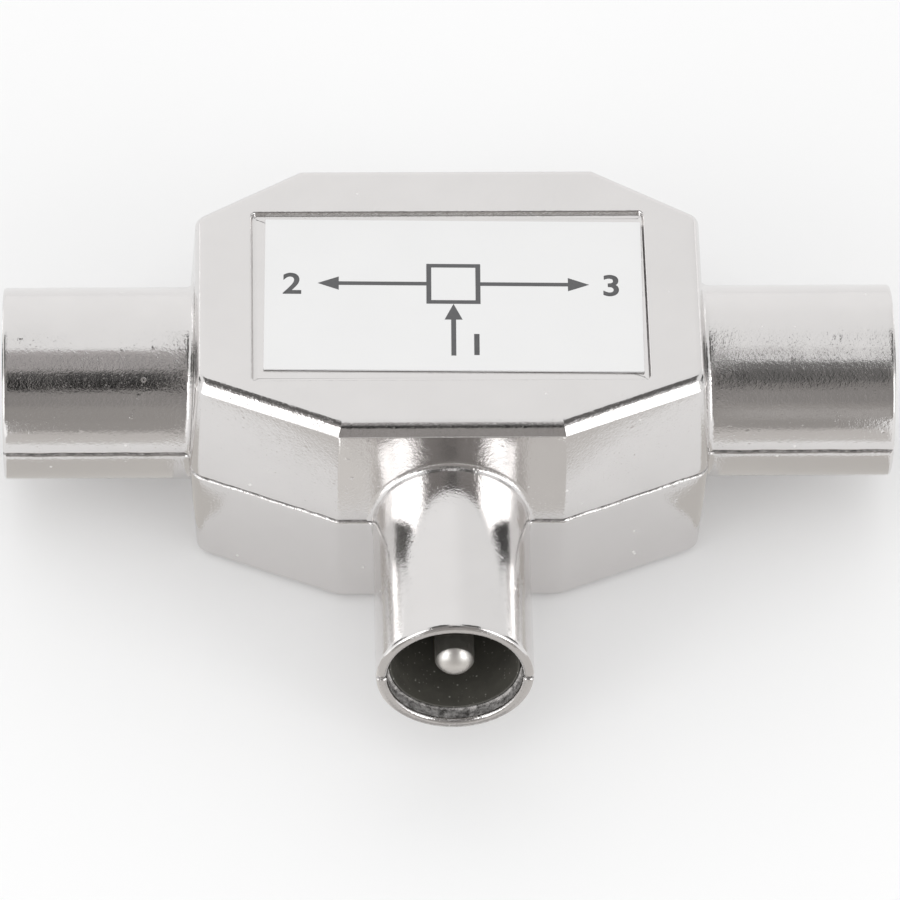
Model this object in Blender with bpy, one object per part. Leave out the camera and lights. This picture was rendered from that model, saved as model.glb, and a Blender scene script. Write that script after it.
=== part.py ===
"""Two way aerial splitter: a die-cast T of two half shells with a coaxial plug and two coaxial sockets.

Frame: the flat underside lies at Z = 0, the socket axis runs along X, the plug points along -Y,
and the origin is on the underside, straight below the crossing of the two axes.
"""

import math

import bmesh
import bpy
from mathutils import Matrix, Vector

MM = 0.001

# Body casting, measured at the parting plane unless a name says otherwise
BODY_WIDTH = 31.8 * MM
BODY_FRONT = 11.4 * MM        # socket axis to front wall
BODY_BACK = 11.3 * MM         # socket axis to back wall
BODY_HEIGHT = 15.9 * MM
FRONT_FLAT = 13.8 * MM        # width of the flat front wall
BACK_FLAT = 18.4 * MM         # width of the flat back wall
SIDE_FRONT = 7.5 * MM         # socket axis to the front end of a side wall
SIDE_BACK = 7.2 * MM          # socket axis to the back end of a side wall
SIDE_CORNER_RADIUS = 1.2 * MM
END_CORNER_RADIUS = 0.5 * MM
SHARPEST_CORNER = 0.05 * MM   # what a corner keeps when an inset eats its radius
WALL_DRAFT = math.radians(3.2)
EDGE_BEVEL = 0.6 * MM
WALL = 1.5 * MM
ROOF = 1.6 * MM
PARTING_GAP = 0.1 * MM
OVERRUN = 0.5 * MM            # how far a form runs past the parting plane before it is trimmed

# Shallow pocket in the upper face, and the label stuck in it
POCKET_WIDTH = 24.2 * MM
POCKET_LENGTH = 13.9 * MM
POCKET_DEPTH = 0.3 * MM
POCKET_CORNER = 0.3 * MM
LABEL_SIDE_MARGIN = 0.55 * MM
LABEL_END_MARGIN = 0.75 * MM
LABEL_THICKNESS = 0.12 * MM
LABEL_GLUE = 0.04 * MM
LABEL_TILT = math.radians(-0.8)
LABEL_SHIFT = 0.25 * MM       # label's centre to the right of the pocket's centre

# Sockets
SOCKET_SPAN = 54.6 * MM       # mouth to mouth
SOCKET_DIAMETER = 11.8 * MM
SOCKET_BORE = 9.6 * MM
SOCKET_DEPTH = 9.6 * MM       # mouth to insulator
CONTACT_DIAMETER = 3.8 * MM
CONTACT_BORE = 2.4 * MM
CONTACT_RECESS = 1.0 * MM     # mouth to contact tip
CONTACT_BORE_DEPTH = 7.0 * MM
CONTACT_STEM = 2.6 * MM
CONTACT_SLOT = 0.35 * MM
CONTACT_SLOT_DEPTH = 5.2 * MM
CONTACT_TIP_CHAMFER = 0.25 * MM
HUB_DIAMETER = 5.8 * MM
HUB_LENGTH = 1.2 * MM

# Plug
PLUG_REACH = 23.85 * MM       # socket axis to plug mouth
PLUG_DIAMETER = 9.5 * MM
PLUG_BORE = 8.1 * MM
LINER_RECESS = 1.0 * MM       # mouth to the edge of the black liner
LINER_WALL = 0.5 * MM
LINER_DEPTH = 8.0 * MM        # inside depth of the liner cup
PIN_DIAMETER = 2.3 * MM
PIN_RECESS = 1.0 * MM         # mouth to pin tip
PIN_DOME = 0.62 * MM

# Rims and seats that the plug and the sockets share
RIM_ROUND = 0.3 * MM
BORE_CHAMFER = 0.15 * MM
COLLAR_LENGTH = 2.4 * MM
COLLAR_WALL = 1.7 * MM
FLANGE_THICKNESS = 1.0 * MM
FLANGE_STAND_OUT = 0.6 * MM
FLANGE_SETBACK = 0.7 * MM     # inner end of the collar to the groove
FIT = 0.05 * MM               # clearance on each side of a seated piece
STOP_THICKNESS = 0.45 * MM
STOP_STAND_OUT = 0.35 * MM
TAIL_DIAMETER = 1.2 * MM

# Posts that join the shells
PILLAR_DIAMETER = 3.0 * MM
PILLAR_INSET = 2.5 * MM       # from the outer edge of a chamfered wall
PILLAR_ALONG = 0.32           # share of the chamfered wall's length, from its front or back end
PEG_DIAMETER = 1.6 * MM
PEG_LENGTH = 2.6 * MM
PEG_HOLE_SPARE = 0.3 * MM
REST_DIAMETER = 1.8 * MM
REST_INSET = 1.5 * MM

# Circuit board
BOARD_THICKNESS = 1.0 * MM
BOARD_SIDE_GAP = 1.2 * MM     # socket collar to board
BOARD_FRONT_GAP = 2.3 * MM    # plug collar to board
BOARD_BACK_GAP = 3.8 * MM     # cavity wall to board
BOARD_CORNER = 0.6 * MM
SOLDER_BED = 0.2 * MM         # solder between a tail and the board
TAIL_OVERLAP = 1.5 * MM       # how far a socket tail lies over the board
INPUT_OVERLAP = 1.6 * MM      # how far the plug tail lies over the board
LEAD_HOLE_SPARE = 0.1 * MM
LEAD_END = 0.45 * MM          # how far a lead sticks out under the board

# Ferrite cores and their windings
CORE_WIDTH = 4.4 * MM
CORE_HEIGHT = 2.7 * MM
CORE_LENGTH = 2.6 * MM
CORE_HOLE = 1.3 * MM
CORE_HOLE_PITCH = 2.1 * MM
CORE_CENTRE_X = 2.9 * MM
CORE_CENTRE_Y = 0.3 * MM
WIRE_DIAMETER = 0.24 * MM
WIRE_PITCH = 0.32 * MM
TURNS = 3
LOOP_CLEARANCE = 0.15 * MM
LEAD_REACH = 0.55 * MM
BEND_SHARE = 0.45             # most of a straight run that the bend at its end may take

# Small parts on the board
RESISTOR_DIAMETER = 1.6 * MM
RESISTOR_LENGTH = 3.6 * MM
RESISTOR_NECK = 1.4 * MM      # diameter between its two end bulges, and at the lead ends
RESISTOR_BULGE = 1.0 * MM     # length of an end bulge
RESISTOR_LEAD = 0.45 * MM
RESISTOR_PITCH = 6.0 * MM
RESISTOR_FROM_BACK = 1.7 * MM
CHIP_LENGTH = 2.0 * MM
CHIP_WIDTH = 1.25 * MM
CHIP_HEIGHT = 0.8 * MM
CHIP_TERMINAL = 0.4 * MM
CHIP_STEP = 0.04 * MM
CHIP_FROM_TAIL = 0.9 * MM
SOLDER_RADIUS = 1.25 * MM
SOLDER_COVER = 0.45 * MM      # solder above the tail
SPRING_WIDTH = 3.0 * MM
SPRING_THICKNESS = 0.25 * MM
SPRING_FOOT = 1.2 * MM
SPRING_RISE = 2.2 * MM
SPRING_OVERHANG = 1.3 * MM    # edge of the board to the bend

# How finely the round forms are divided
TUBE_STEPS = 56
MOULDING_STEPS = 40
SMALL_STEPS = 24
TINY_STEPS = 12
WIRE_SIDES = 6
CORNER_STEPS = 4
RIM_STEPS = 3
SMOOTH_ANGLE = math.radians(32)

# Places worked out from the sizes above
AXIS_HEIGHT = BODY_HEIGHT / 2
SOCKET_MOUTH = SOCKET_SPAN / 2
SOCKET_COLLAR_END = BODY_WIDTH / 2 - WALL - COLLAR_LENGTH
PLUG_COLLAR_END = BODY_FRONT - WALL - COLLAR_LENGTH
TAIL_RADIUS = TAIL_DIAMETER / 2
BOARD_TOP = AXIS_HEIGHT - TAIL_RADIUS - SOLDER_BED
BOARD_BOTTOM = BOARD_TOP - BOARD_THICKNESS
BOARD_HALF_WIDTH = SOCKET_COLLAR_END - BOARD_SIDE_GAP
BOARD_FRONT = -PLUG_COLLAR_END + BOARD_FRONT_GAP
BOARD_BACK = BODY_BACK - WALL - BOARD_BACK_GAP
SOCKET_TAIL_END = BOARD_HALF_WIDTH - TAIL_OVERLAP
PLUG_TAIL_END = -BOARD_FRONT - INPUT_OVERLAP
PART_SEAT = BOARD_TOP + FIT


def clear_scene():
    """Removes whatever the scene holds."""
    for old in list(bpy.data.objects):
        bpy.data.objects.remove(old, do_unlink=True)


def make_material(name, colour, roughness, metallic):
    """Principled material of one colour."""
    material = bpy.data.materials.new(name)
    material.use_nodes = True
    shader = material.node_tree.nodes["Principled BSDF"]
    shader.inputs["Base Color"].default_value = (*colour, 1.0)
    shader.inputs["Roughness"].default_value = roughness
    shader.inputs["Metallic"].default_value = metallic
    material.diffuse_color = (*colour, 1.0)
    return material


def add_solid(name, solid):
    """Puts a closed bmesh into the scene as an object, with its faces pointing out."""
    bmesh.ops.recalc_face_normals(solid, faces=solid.faces)
    mesh = bpy.data.meshes.new(name)
    solid.to_mesh(mesh)
    solid.free()
    thing = bpy.data.objects.new(name, mesh)
    bpy.context.scene.collection.objects.link(thing)
    return thing


def combine(base, tool, operation, solver="EXACT"):
    """Boolean of two objects: the result stays in base and the tool goes away."""
    step = base.modifiers.new(operation.lower(), "BOOLEAN")
    step.operation = operation
    step.solver = solver
    step.object = tool
    bpy.context.view_layer.update()
    evaluated = base.evaluated_get(bpy.context.evaluated_depsgraph_get())
    result = bpy.data.meshes.new_from_object(evaluated)
    base.modifiers.clear()
    base.data = result
    bpy.data.objects.remove(tool, do_unlink=True)


def finish(thing, material):
    """Gives a finished piece its material and smooth shading between sharp edges."""
    thing.data.name = thing.name
    thing.data.materials.clear()
    thing.data.materials.append(material)
    thing.data.shade_smooth()
    thing.data.set_sharp_from_angle(angle=SMOOTH_ANGLE)
    return thing


def loft(sections):
    """Closed solid through a row of loops that all have the same number of points."""
    solid = bmesh.new()
    rings = [[solid.verts.new(point) for point in section] for section in sections]
    count = len(rings[0])
    for lower, upper in zip(rings, rings[1:]):
        for i in range(count):
            j = (i + 1) % count
            solid.faces.new((lower[i], lower[j], upper[j], upper[i]))
    solid.faces.new(reversed(rings[0]))
    solid.faces.new(rings[-1])
    return solid


def turned(profile, direction, steps, centre=(0.0, 0.0, AXIS_HEIGHT)):
    """Solid of revolution: profile is a closed outline of (station along direction, radius) pairs."""
    solid = bmesh.new()
    along = Vector(direction)
    side = along.orthogonal().normalized()
    other = along.cross(side)
    middle = Vector(centre)
    rings = []
    for station, radius in profile:
        if radius <= 0.0:
            rings.append([solid.verts.new(middle + along * station)] * steps)
            continue
        ring = []
        for i in range(steps):
            turn = 2 * math.pi * i / steps
            spoke = side * math.cos(turn) + other * math.sin(turn)
            ring.append(solid.verts.new(middle + along * station + spoke * radius))
        rings.append(ring)
    for first, second in zip(rings, rings[1:] + rings[:1]):
        for i in range(steps):
            j = (i + 1) % steps
            corners = dict.fromkeys((first[i], first[j], second[j], second[i]))
            if len(corners) > 2:
                solid.faces.new(corners)
    return solid


def rod(start, end, radius, direction, steps, centre=(0.0, 0.0, AXIS_HEIGHT)):
    """Plain cylinder from one station to another along direction."""
    profile = [(start, 0.0), (start, radius), (end, radius), (end, 0.0)]
    return turned(profile, direction, steps, centre)


def block(low, high):
    """Box between two corners."""
    (x0, y0, z0), (x1, y1, z1) = low, high
    outline = [(x0, y0), (x1, y0), (x1, y1), (x0, y1)]
    return loft([[(x, y, z) for x, y in outline] for z in (z0, z1)])


def rounded_outline(corners, radii):
    """Outline of (x, y) points through a convex row of corners, each rounded by its own arc."""
    points = []
    count = len(corners)
    for i, (corner, radius) in enumerate(zip(corners, radii)):
        here = Vector(corner)
        back = (Vector(corners[i - 1]) - here).normalized()
        ahead = (Vector(corners[(i + 1) % count]) - here).normalized()
        half_angle = back.angle(ahead) / 2
        centre = here + (back + ahead).normalized() * (radius / math.sin(half_angle))
        start = here + back * (radius / math.tan(half_angle)) - centre
        sweep = math.pi - 2 * half_angle
        for step in range(CORNER_STEPS + 1):
            turn = Matrix.Rotation(sweep * step / CORNER_STEPS, 2)
            points.append(tuple(centre + turn @ start))
    return points


def rounded_rectangle(x0, x1, y0, y1, radius):
    """Anticlockwise outline of a rectangle with rounded corners."""
    return rounded_outline([(x0, y0), (x1, y0), (x1, y1), (x0, y1)], [radius] * 4)


def body_corners():
    """The eight plan corners of the body at the parting plane, anticlockwise from the front left."""
    half_width = BODY_WIDTH / 2
    front_half = FRONT_FLAT / 2
    back_half = BACK_FLAT / 2
    return [
        (-front_half, -BODY_FRONT), (front_half, -BODY_FRONT),
        (half_width, -SIDE_FRONT), (half_width, SIDE_BACK),
        (back_half, BODY_BACK), (-back_half, BODY_BACK),
        (-half_width, SIDE_BACK), (-half_width, -SIDE_FRONT),
    ]


def body_outline(inset):
    """Plan outline of the body, moved inwards by inset from the parting plane's outline."""
    corners = [Vector(corner) for corner in body_corners()]
    count = len(corners)
    lines = []
    for i, corner in enumerate(corners):
        run = (corners[(i + 1) % count] - corner).normalized()
        outward = Vector((run.y, -run.x))
        lines.append((outward, outward.dot(corner) - inset))
    moved = []
    for i in range(count):
        (n0, d0), (n1, d1) = lines[i - 1], lines[i]
        cross = n0.x * n1.y - n0.y * n1.x
        moved.append(((d0 * n1.y - d1 * n0.y) / cross, (n0.x * d1 - n1.x * d0) / cross))
    end, side = END_CORNER_RADIUS, SIDE_CORNER_RADIUS
    radii = [end, end, side, side, end, end, side, side]
    return rounded_outline(moved, [max(radius - inset, SHARPEST_CORNER) for radius in radii])


def body_prism(levels, up):
    """Lofted body form: levels are (height from the parting plane, inset) pairs, up is +1 or -1."""
    sections = []
    for height, inset in levels:
        z = AXIS_HEIGHT + up * height
        sections.append([(x, y, z) for x, y in body_outline(inset)])
    return loft(sections)


def tube_profile(start, end, radius):
    """Outline of a solid round bar whose end is rounded as the die-cast rims are."""
    arc = []
    for step in range(RIM_STEPS + 1):
        turn = math.pi / 2 * step / RIM_STEPS
        arc.append((end - RIM_ROUND * (1 - math.sin(turn)), radius - RIM_ROUND * (1 - math.cos(turn))))
    return [(start, 0.0), (start, radius)] + arc + [(end, 0.0)]


def bore_profile(start, end, radius):
    """Outline of a cutter for a bore that is open at its end, with the entry chamfer."""
    past = end + WALL
    flare = radius + BORE_CHAMFER
    return [(start, 0.0), (start, radius), (end - BORE_CHAMFER, radius),
            (end, flare), (past, flare), (past, 0.0)]


def port_cuts(collar_end, mouth, bore, direction):
    """Cutters for one port: its bore through wall and collar, and the groove for the flange."""
    radius = bore / 2
    groove_start = collar_end + FLANGE_SETBACK - FIT
    groove_end = groove_start + FLANGE_THICKNESS + 2 * FIT
    groove_radius = radius + FLANGE_STAND_OUT + FIT
    hole = turned(bore_profile(collar_end - WALL, mouth, radius), direction, TUBE_STEPS)
    groove = rod(groove_start, groove_end, groove_radius, direction, TUBE_STEPS)
    return hole, groove


def pillar_places():
    """Plan positions of the four posts, inside the chamfered walls."""
    corners = body_corners()
    places = []
    for start, end in ((1, 2), (4, 3)):
        a, b = Vector(corners[start]), Vector(corners[end])
        run = b - a
        outward = Vector((run.y, -run.x)).normalized()
        if outward.x < 0:
            outward = -outward
        spot = a + run * PILLAR_ALONG - outward * PILLAR_INSET
        places += [(spot.x, spot.y), (-spot.x, spot.y)]
    return places


def rest_places():
    """Plan positions of the four short posts that carry the board."""
    x = BOARD_HALF_WIDTH - REST_INSET
    return [(sign * x, y) for y in (BOARD_FRONT + REST_INSET, BOARD_BACK - REST_INSET) for sign in (1, -1)]


def change_shell(shell, label, solid, operation):
    """One step of a half shell. Its many crossing bars, collars and bores suit the Manifold solver."""
    combine(shell, add_solid(label, solid), operation, "MANIFOLD")


def shell_half(name, up):
    """One die-cast half shell: up is +1 for the upper half and -1 for the lower one.

    The drafted octagon and the three round bars are one casting, hollowed by the cavity, with a
    collar inside each port, a groove that traps the insulator, and four posts that join the halves.
    """
    flank = BODY_HEIGHT / 2 - EDGE_BEVEL
    draft = math.tan(WALL_DRAFT)
    lip = PARTING_GAP / 2
    shell = add_solid(name, body_prism([
        (-OVERRUN, 0.0), (0.0, 0.0), (flank, flank * draft),
        (BODY_HEIGHT / 2, flank * draft + EDGE_BEVEL)], up))

    ports = [((1, 0, 0), SOCKET_COLLAR_END, SOCKET_MOUTH, SOCKET_DIAMETER, SOCKET_BORE),
             ((-1, 0, 0), SOCKET_COLLAR_END, SOCKET_MOUTH, SOCKET_DIAMETER, SOCKET_BORE),
             ((0, -1, 0), PLUG_COLLAR_END, PLUG_REACH, PLUG_DIAMETER, PLUG_BORE)]
    for direction, collar_end, mouth, diameter, bore in ports:
        inner_end = collar_end + COLLAR_LENGTH / 2
        bar = turned(tube_profile(inner_end, mouth, diameter / 2), direction, TUBE_STEPS)
        change_shell(shell, "bar", bar, "UNION")

    depth = BODY_HEIGHT / 2 - ROOF
    cavity = body_prism([(-WALL, WALL), (0.0, WALL), (depth, WALL + depth * draft)], up)
    change_shell(shell, "cavity", cavity, "DIFFERENCE")

    for direction, collar_end, mouth, diameter, bore in ports:
        collar = rod(collar_end, collar_end + COLLAR_LENGTH + WALL / 2, bore / 2 + COLLAR_WALL,
                     direction, TUBE_STEPS)
        change_shell(shell, "collar", collar, "UNION")

    inner = AXIS_HEIGHT + up * (BODY_HEIGHT / 2 - ROOF / 2)
    past = AXIS_HEIGHT - up * OVERRUN / 2
    for x, y in pillar_places():
        pillar = rod(past, inner, PILLAR_DIAMETER / 2, (0, 0, 1), SMALL_STEPS, (x, y, 0))
        change_shell(shell, "pillar", pillar, "UNION")
    if up < 0:
        for x, y in rest_places():
            post = rod(inner, BOARD_BOTTOM - FIT, REST_DIAMETER / 2, (0, 0, 1), TINY_STEPS, (x, y, 0))
            change_shell(shell, "rest", post, "UNION")

    for direction, collar_end, mouth, diameter, bore in ports:
        for cutter in port_cuts(collar_end, mouth, bore, direction):
            change_shell(shell, "port_cut", cutter, "DIFFERENCE")

    reach = SOCKET_SPAN
    far = AXIS_HEIGHT - up * reach
    near = AXIS_HEIGHT + up * lip
    other_half = block((-reach, -reach, min(far, near)), (reach, reach, max(far, near)))
    change_shell(shell, "other_half", other_half, "DIFFERENCE")
    return shell


def make_upper_shell(material):
    """Upper half: it has the label's pocket outside and the pegs inside."""
    shell = shell_half("upper_shell", 1)
    half_width, half_length = POCKET_WIDTH / 2, POCKET_LENGTH / 2
    outline = rounded_rectangle(-half_width, half_width, -half_length, half_length, POCKET_CORNER)
    floor = BODY_HEIGHT - POCKET_DEPTH
    pocket = loft([[(x, y, z) for x, y in outline] for z in (floor, BODY_HEIGHT + WALL)])
    change_shell(shell, "pocket", pocket, "DIFFERENCE")
    for x, y in pillar_places():
        start = AXIS_HEIGHT - PEG_LENGTH
        peg = rod(start, AXIS_HEIGHT + WALL, PEG_DIAMETER / 2, (0, 0, 1), TINY_STEPS, (x, y, 0))
        change_shell(shell, "peg", peg, "UNION")
    return finish(shell, material)


def make_lower_shell(material):
    """Lower half: the blind holes in its posts take the upper half's pegs."""
    shell = shell_half("lower_shell", -1)
    for x, y in pillar_places():
        start = AXIS_HEIGHT - PEG_LENGTH - PEG_HOLE_SPARE
        hole = rod(start, AXIS_HEIGHT + WALL, PEG_DIAMETER / 2 + FIT, (0, 0, 1), TINY_STEPS, (x, y, 0))
        change_shell(shell, "peg_hole", hole, "DIFFERENCE")
    return finish(shell, material)


def make_label(material):
    """Vinyl label, stuck in the pocket slightly askew."""
    half_width = POCKET_WIDTH / 2 - LABEL_SIDE_MARGIN
    half_length = POCKET_LENGTH / 2 - LABEL_END_MARGIN
    turn = Matrix.Rotation(LABEL_TILT, 2)
    outline = rounded_rectangle(-half_width, half_width, -half_length, half_length, POCKET_CORNER)
    outline = [turn @ Vector(point) + Vector((LABEL_SHIFT, 0.0)) for point in outline]
    floor = BODY_HEIGHT - POCKET_DEPTH + LABEL_GLUE
    sections = [[(x, y, z) for x, y in outline] for z in (floor, floor + LABEL_THICKNESS)]
    return finish(add_solid("face_label", loft(sections)), material)


def flanged_outline(front, rear, radius, collar_end):
    """Outer side of an insulator, front to rear, with the flange that sits in the casting's groove."""
    flange_rear = collar_end + FLANGE_SETBACK
    flange_front = flange_rear + FLANGE_THICKNESS
    flange_radius = radius + FIT + FLANGE_STAND_OUT
    return [(front, radius), (flange_front, radius), (flange_front, flange_radius),
            (flange_rear, flange_radius), (flange_rear, radius), (rear, radius)]


def make_plug_insulator(material):
    """Black cup of the plug: a thin liner round the bore and a base that holds the pin."""
    front = PLUG_REACH - LINER_RECESS
    base = front - LINER_DEPTH
    rear = PLUG_COLLAR_END + FIT
    outer = PLUG_BORE / 2 - FIT
    hole = PIN_DIAMETER / 2 + FIT
    profile = flanged_outline(front, rear, outer, PLUG_COLLAR_END)
    profile += [(rear, hole), (base, hole), (base, outer - LINER_WALL), (front, outer - LINER_WALL)]
    return finish(add_solid("plug_insulator", turned(profile, (0, -1, 0), MOULDING_STEPS)), material)


def make_plug_pin(material):
    """Turned pin of the plug: low domed tip, stop collar behind the insulator, and solder tail."""
    radius = PIN_DIAMETER / 2
    tip = PLUG_REACH - PIN_RECESS
    ball = (radius ** 2 + PIN_DOME ** 2) / (2 * PIN_DOME)
    half_angle = math.asin(radius / ball)
    stop = PLUG_COLLAR_END
    profile = [(tip, 0.0)]
    for step in range(1, CORNER_STEPS + 2):
        turn = half_angle * step / (CORNER_STEPS + 1)
        profile.append((tip - ball * (1 - math.cos(turn)), ball * math.sin(turn)))
    profile += [(stop, radius), (stop, radius + STOP_STAND_OUT),
                (stop - STOP_THICKNESS, radius + STOP_STAND_OUT), (stop - STOP_THICKNESS, TAIL_RADIUS),
                (PLUG_TAIL_END, TAIL_RADIUS), (PLUG_TAIL_END, 0.0)]
    return finish(add_solid("plug_pin", turned(profile, (0, -1, 0), SMALL_STEPS)), material)


def make_socket_insulator(name, direction, material):
    """Black disc of a socket, with a hub in front that steadies the contact."""
    front = SOCKET_MOUTH - SOCKET_DEPTH
    rear = SOCKET_COLLAR_END + FIT
    outer = SOCKET_BORE / 2 - FIT
    hole = CONTACT_STEM / 2 + FIT
    hub = HUB_DIAMETER / 2
    profile = flanged_outline(front, rear, outer, SOCKET_COLLAR_END)
    profile += [(rear, hole), (front + HUB_LENGTH, hole), (front + HUB_LENGTH, hub), (front, hub)]
    return finish(add_solid(name, turned(profile, direction, MOULDING_STEPS)), material)


def make_socket_contact(name, direction, material):
    """Spring contact of a socket: a tube slotted into four fingers, a stem and a solder tail."""
    tip = SOCKET_MOUTH - CONTACT_RECESS
    shoulder = SOCKET_MOUTH - SOCKET_DEPTH + HUB_LENGTH + FIT
    outer, inner, stem = CONTACT_DIAMETER / 2, CONTACT_BORE / 2, CONTACT_STEM / 2
    stop = SOCKET_COLLAR_END
    profile = [(SOCKET_TAIL_END, 0.0), (SOCKET_TAIL_END, TAIL_RADIUS), (stop - STOP_THICKNESS, TAIL_RADIUS),
               (stop - STOP_THICKNESS, stem + STOP_STAND_OUT), (stop, stem + STOP_STAND_OUT), (stop, stem),
               (shoulder, stem), (shoulder, outer), (tip - CONTACT_TIP_CHAMFER, outer),
               (tip, outer - CONTACT_TIP_CHAMFER), (tip, inner + CONTACT_TIP_CHAMFER),
               (tip - CONTACT_TIP_CHAMFER, inner), (tip - CONTACT_BORE_DEPTH, inner),
               (tip - CONTACT_BORE_DEPTH, 0.0)]
    contact = add_solid(name, turned(profile, direction, SMALL_STEPS))
    side = direction[0]
    ends = sorted((side * (tip - CONTACT_SLOT_DEPTH), side * (tip + CONTACT_RECESS)))
    half_slot = CONTACT_SLOT / 2
    for across, high in ((half_slot, CONTACT_DIAMETER), (CONTACT_DIAMETER, half_slot)):
        slot = block((ends[0], -across, AXIS_HEIGHT - high), (ends[1], across, AXIS_HEIGHT + high))
        combine(contact, add_solid("slot", slot), "DIFFERENCE")
    return finish(contact, material)


def winding_lead_places(centre_x):
    """Where a winding's two ends go down through the board."""
    y = CORE_CENTRE_Y - CORE_LENGTH / 2 - LOOP_CLEARANCE - WIRE_DIAMETER / 2 - LEAD_REACH
    half_pitch = CORE_HOLE_PITCH / 2
    return [(centre_x - half_pitch, y), (centre_x + half_pitch, y)]


def resistor_y():
    """The resistor's place, a fixed distance in from the back edge of the board."""
    return BOARD_BACK - RESISTOR_FROM_BACK


def make_board(material):
    """Circuit board with a drilled hole for each lead that goes through it."""
    half_width = BOARD_HALF_WIDTH
    outline = rounded_rectangle(-half_width, half_width, BOARD_FRONT, BOARD_BACK, BOARD_CORNER)
    blank = loft([[(x, y, z) for x, y in outline] for z in (BOARD_BOTTOM, BOARD_TOP)])
    board = add_solid("circuit_board", blank)
    holes = []
    for side in (-1, 1):
        holes += [(place, WIRE_DIAMETER) for place in winding_lead_places(side * CORE_CENTRE_X)]
        holes.append(((side * RESISTOR_PITCH / 2, resistor_y()), RESISTOR_LEAD))
    for (x, y), lead in holes:
        radius = lead / 2 + LEAD_HOLE_SPARE
        drill = rod(BOARD_BOTTOM - WALL, BOARD_TOP + WALL, radius, (0, 0, 1), TINY_STEPS, (x, y, 0))
        combine(board, add_solid("drill", drill), "DIFFERENCE")
    return finish(board, material)


def make_core(name, centre_x, material):
    """Ferrite core with two holes side by side, its short ends half round."""
    radius = CORE_HEIGHT / 2
    straight = CORE_WIDTH / 2 - radius
    middle = PART_SEAT + radius
    outline = []
    for side, first in ((1, -math.pi / 2), (-1, math.pi / 2)):
        for step in range(TINY_STEPS + 1):
            turn = first + math.pi * step / TINY_STEPS
            x = centre_x + side * straight + radius * math.cos(turn)
            outline.append((x, middle + radius * math.sin(turn)))
    front, back = CORE_CENTRE_Y - CORE_LENGTH / 2, CORE_CENTRE_Y + CORE_LENGTH / 2
    core = add_solid(name, loft([[(x, y, z) for x, z in outline] for y in (front, back)]))
    for side in (-1, 1):
        centre = (centre_x + side * CORE_HOLE_PITCH / 2, 0, middle)
        hole = rod(front - WALL, back + WALL, CORE_HOLE / 2, (0, 1, 0), TINY_STEPS, centre)
        combine(core, add_solid("hole", hole), "DIFFERENCE")
    return finish(core, material)


def rounded_path(points, radius):
    """Row of points along a broken line whose corners are rounded by short curves."""
    path = [Vector(points[0])]
    for before, corner, after in zip(points, points[1:], points[2:]):
        corner = Vector(corner)
        back, ahead = Vector(before) - corner, Vector(after) - corner
        start = corner + back.normalized() * min(radius, back.length * BEND_SHARE)
        end = corner + ahead.normalized() * min(radius, ahead.length * BEND_SHARE)
        for step in range(RIM_STEPS + 1):
            t = step / RIM_STEPS
            path.append(start * (1 - t) ** 2 + corner * 2 * t * (1 - t) + end * t ** 2)
    path.append(Vector(points[-1]))
    return path


def swept(path, radius, sides):
    """Round wire along a path: each ring is carried from the one before, without twist."""
    sections = []
    side = None
    for i, point in enumerate(path):
        ahead = (path[min(i + 1, len(path) - 1)] - path[max(i - 1, 0)]).normalized()
        if side is None:
            side = ahead.orthogonal().normalized()
        side = (side - ahead * side.dot(ahead)).normalized()
        other = ahead.cross(side)
        ring = []
        for k in range(sides):
            turn = 2 * math.pi * k / sides
            ring.append(point + (side * math.cos(turn) + other * math.sin(turn)) * radius)
        sections.append(ring)
    return loft(sections)


def make_winding(name, centre_x, material):
    """Enamelled wire wound through both holes of a core, its two ends down through the board."""
    half_pitch = CORE_HOLE_PITCH / 2
    left, right = centre_x - half_pitch, centre_x + half_pitch
    loop = LOOP_CLEARANCE + WIRE_DIAMETER / 2
    front, back = CORE_CENTRE_Y - CORE_LENGTH / 2 - loop, CORE_CENTRE_Y + CORE_LENGTH / 2 + loop
    lead_y = front - LEAD_REACH
    lowest = PART_SEAT + CORE_HEIGHT / 2 - WIRE_PITCH * (TURNS - 1) / 2
    end = BOARD_BOTTOM - LEAD_END
    route = [(left, lead_y, end), (left, lead_y, lowest)]
    for turn in range(TURNS):
        z = lowest + WIRE_PITCH * turn
        if turn:
            route.append((left, front, z))
        route += [(left, back, z), (right, back, z)]
        if turn < TURNS - 1:
            route.append((right, front, z))
    route += [(right, lead_y, z), (right, lead_y, end)]
    wire = swept(rounded_path(route, WIRE_DIAMETER), WIRE_DIAMETER / 2, WIRE_SIDES)
    return finish(add_solid(name, wire), material)


def make_resistor(material):
    """Axial resistor across the two outputs, its leads bent down through the board."""
    y = resistor_y()
    axis = PART_SEAT + RESISTOR_DIAMETER / 2
    half, radius, neck = RESISTOR_LENGTH / 2, RESISTOR_DIAMETER / 2, RESISTOR_NECK / 2
    outer_slope, inner_slope = half - neck / 2, half - RESISTOR_BULGE - neck / 2
    bulge = half - RESISTOR_BULGE
    profile = [(-half, 0.0), (-half, neck), (-outer_slope, radius), (-bulge, radius),
               (-inner_slope, neck), (inner_slope, neck), (bulge, radius),
               (outer_slope, radius), (half, neck), (half, 0.0)]
    resistor = add_solid("balance_resistor", turned(profile, (1, 0, 0), SMALL_STEPS, (0, y, axis)))
    bend = RESISTOR_PITCH / 2
    end = BOARD_BOTTOM - LEAD_END
    route = [(-bend, y, end), (-bend, y, axis), (bend, y, axis), (bend, y, end)]
    lead = swept(rounded_path(route, RESISTOR_LEAD), RESISTOR_LEAD / 2, TINY_STEPS)
    combine(resistor, add_solid("lead", lead), "UNION")
    return finish(resistor, material)


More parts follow.
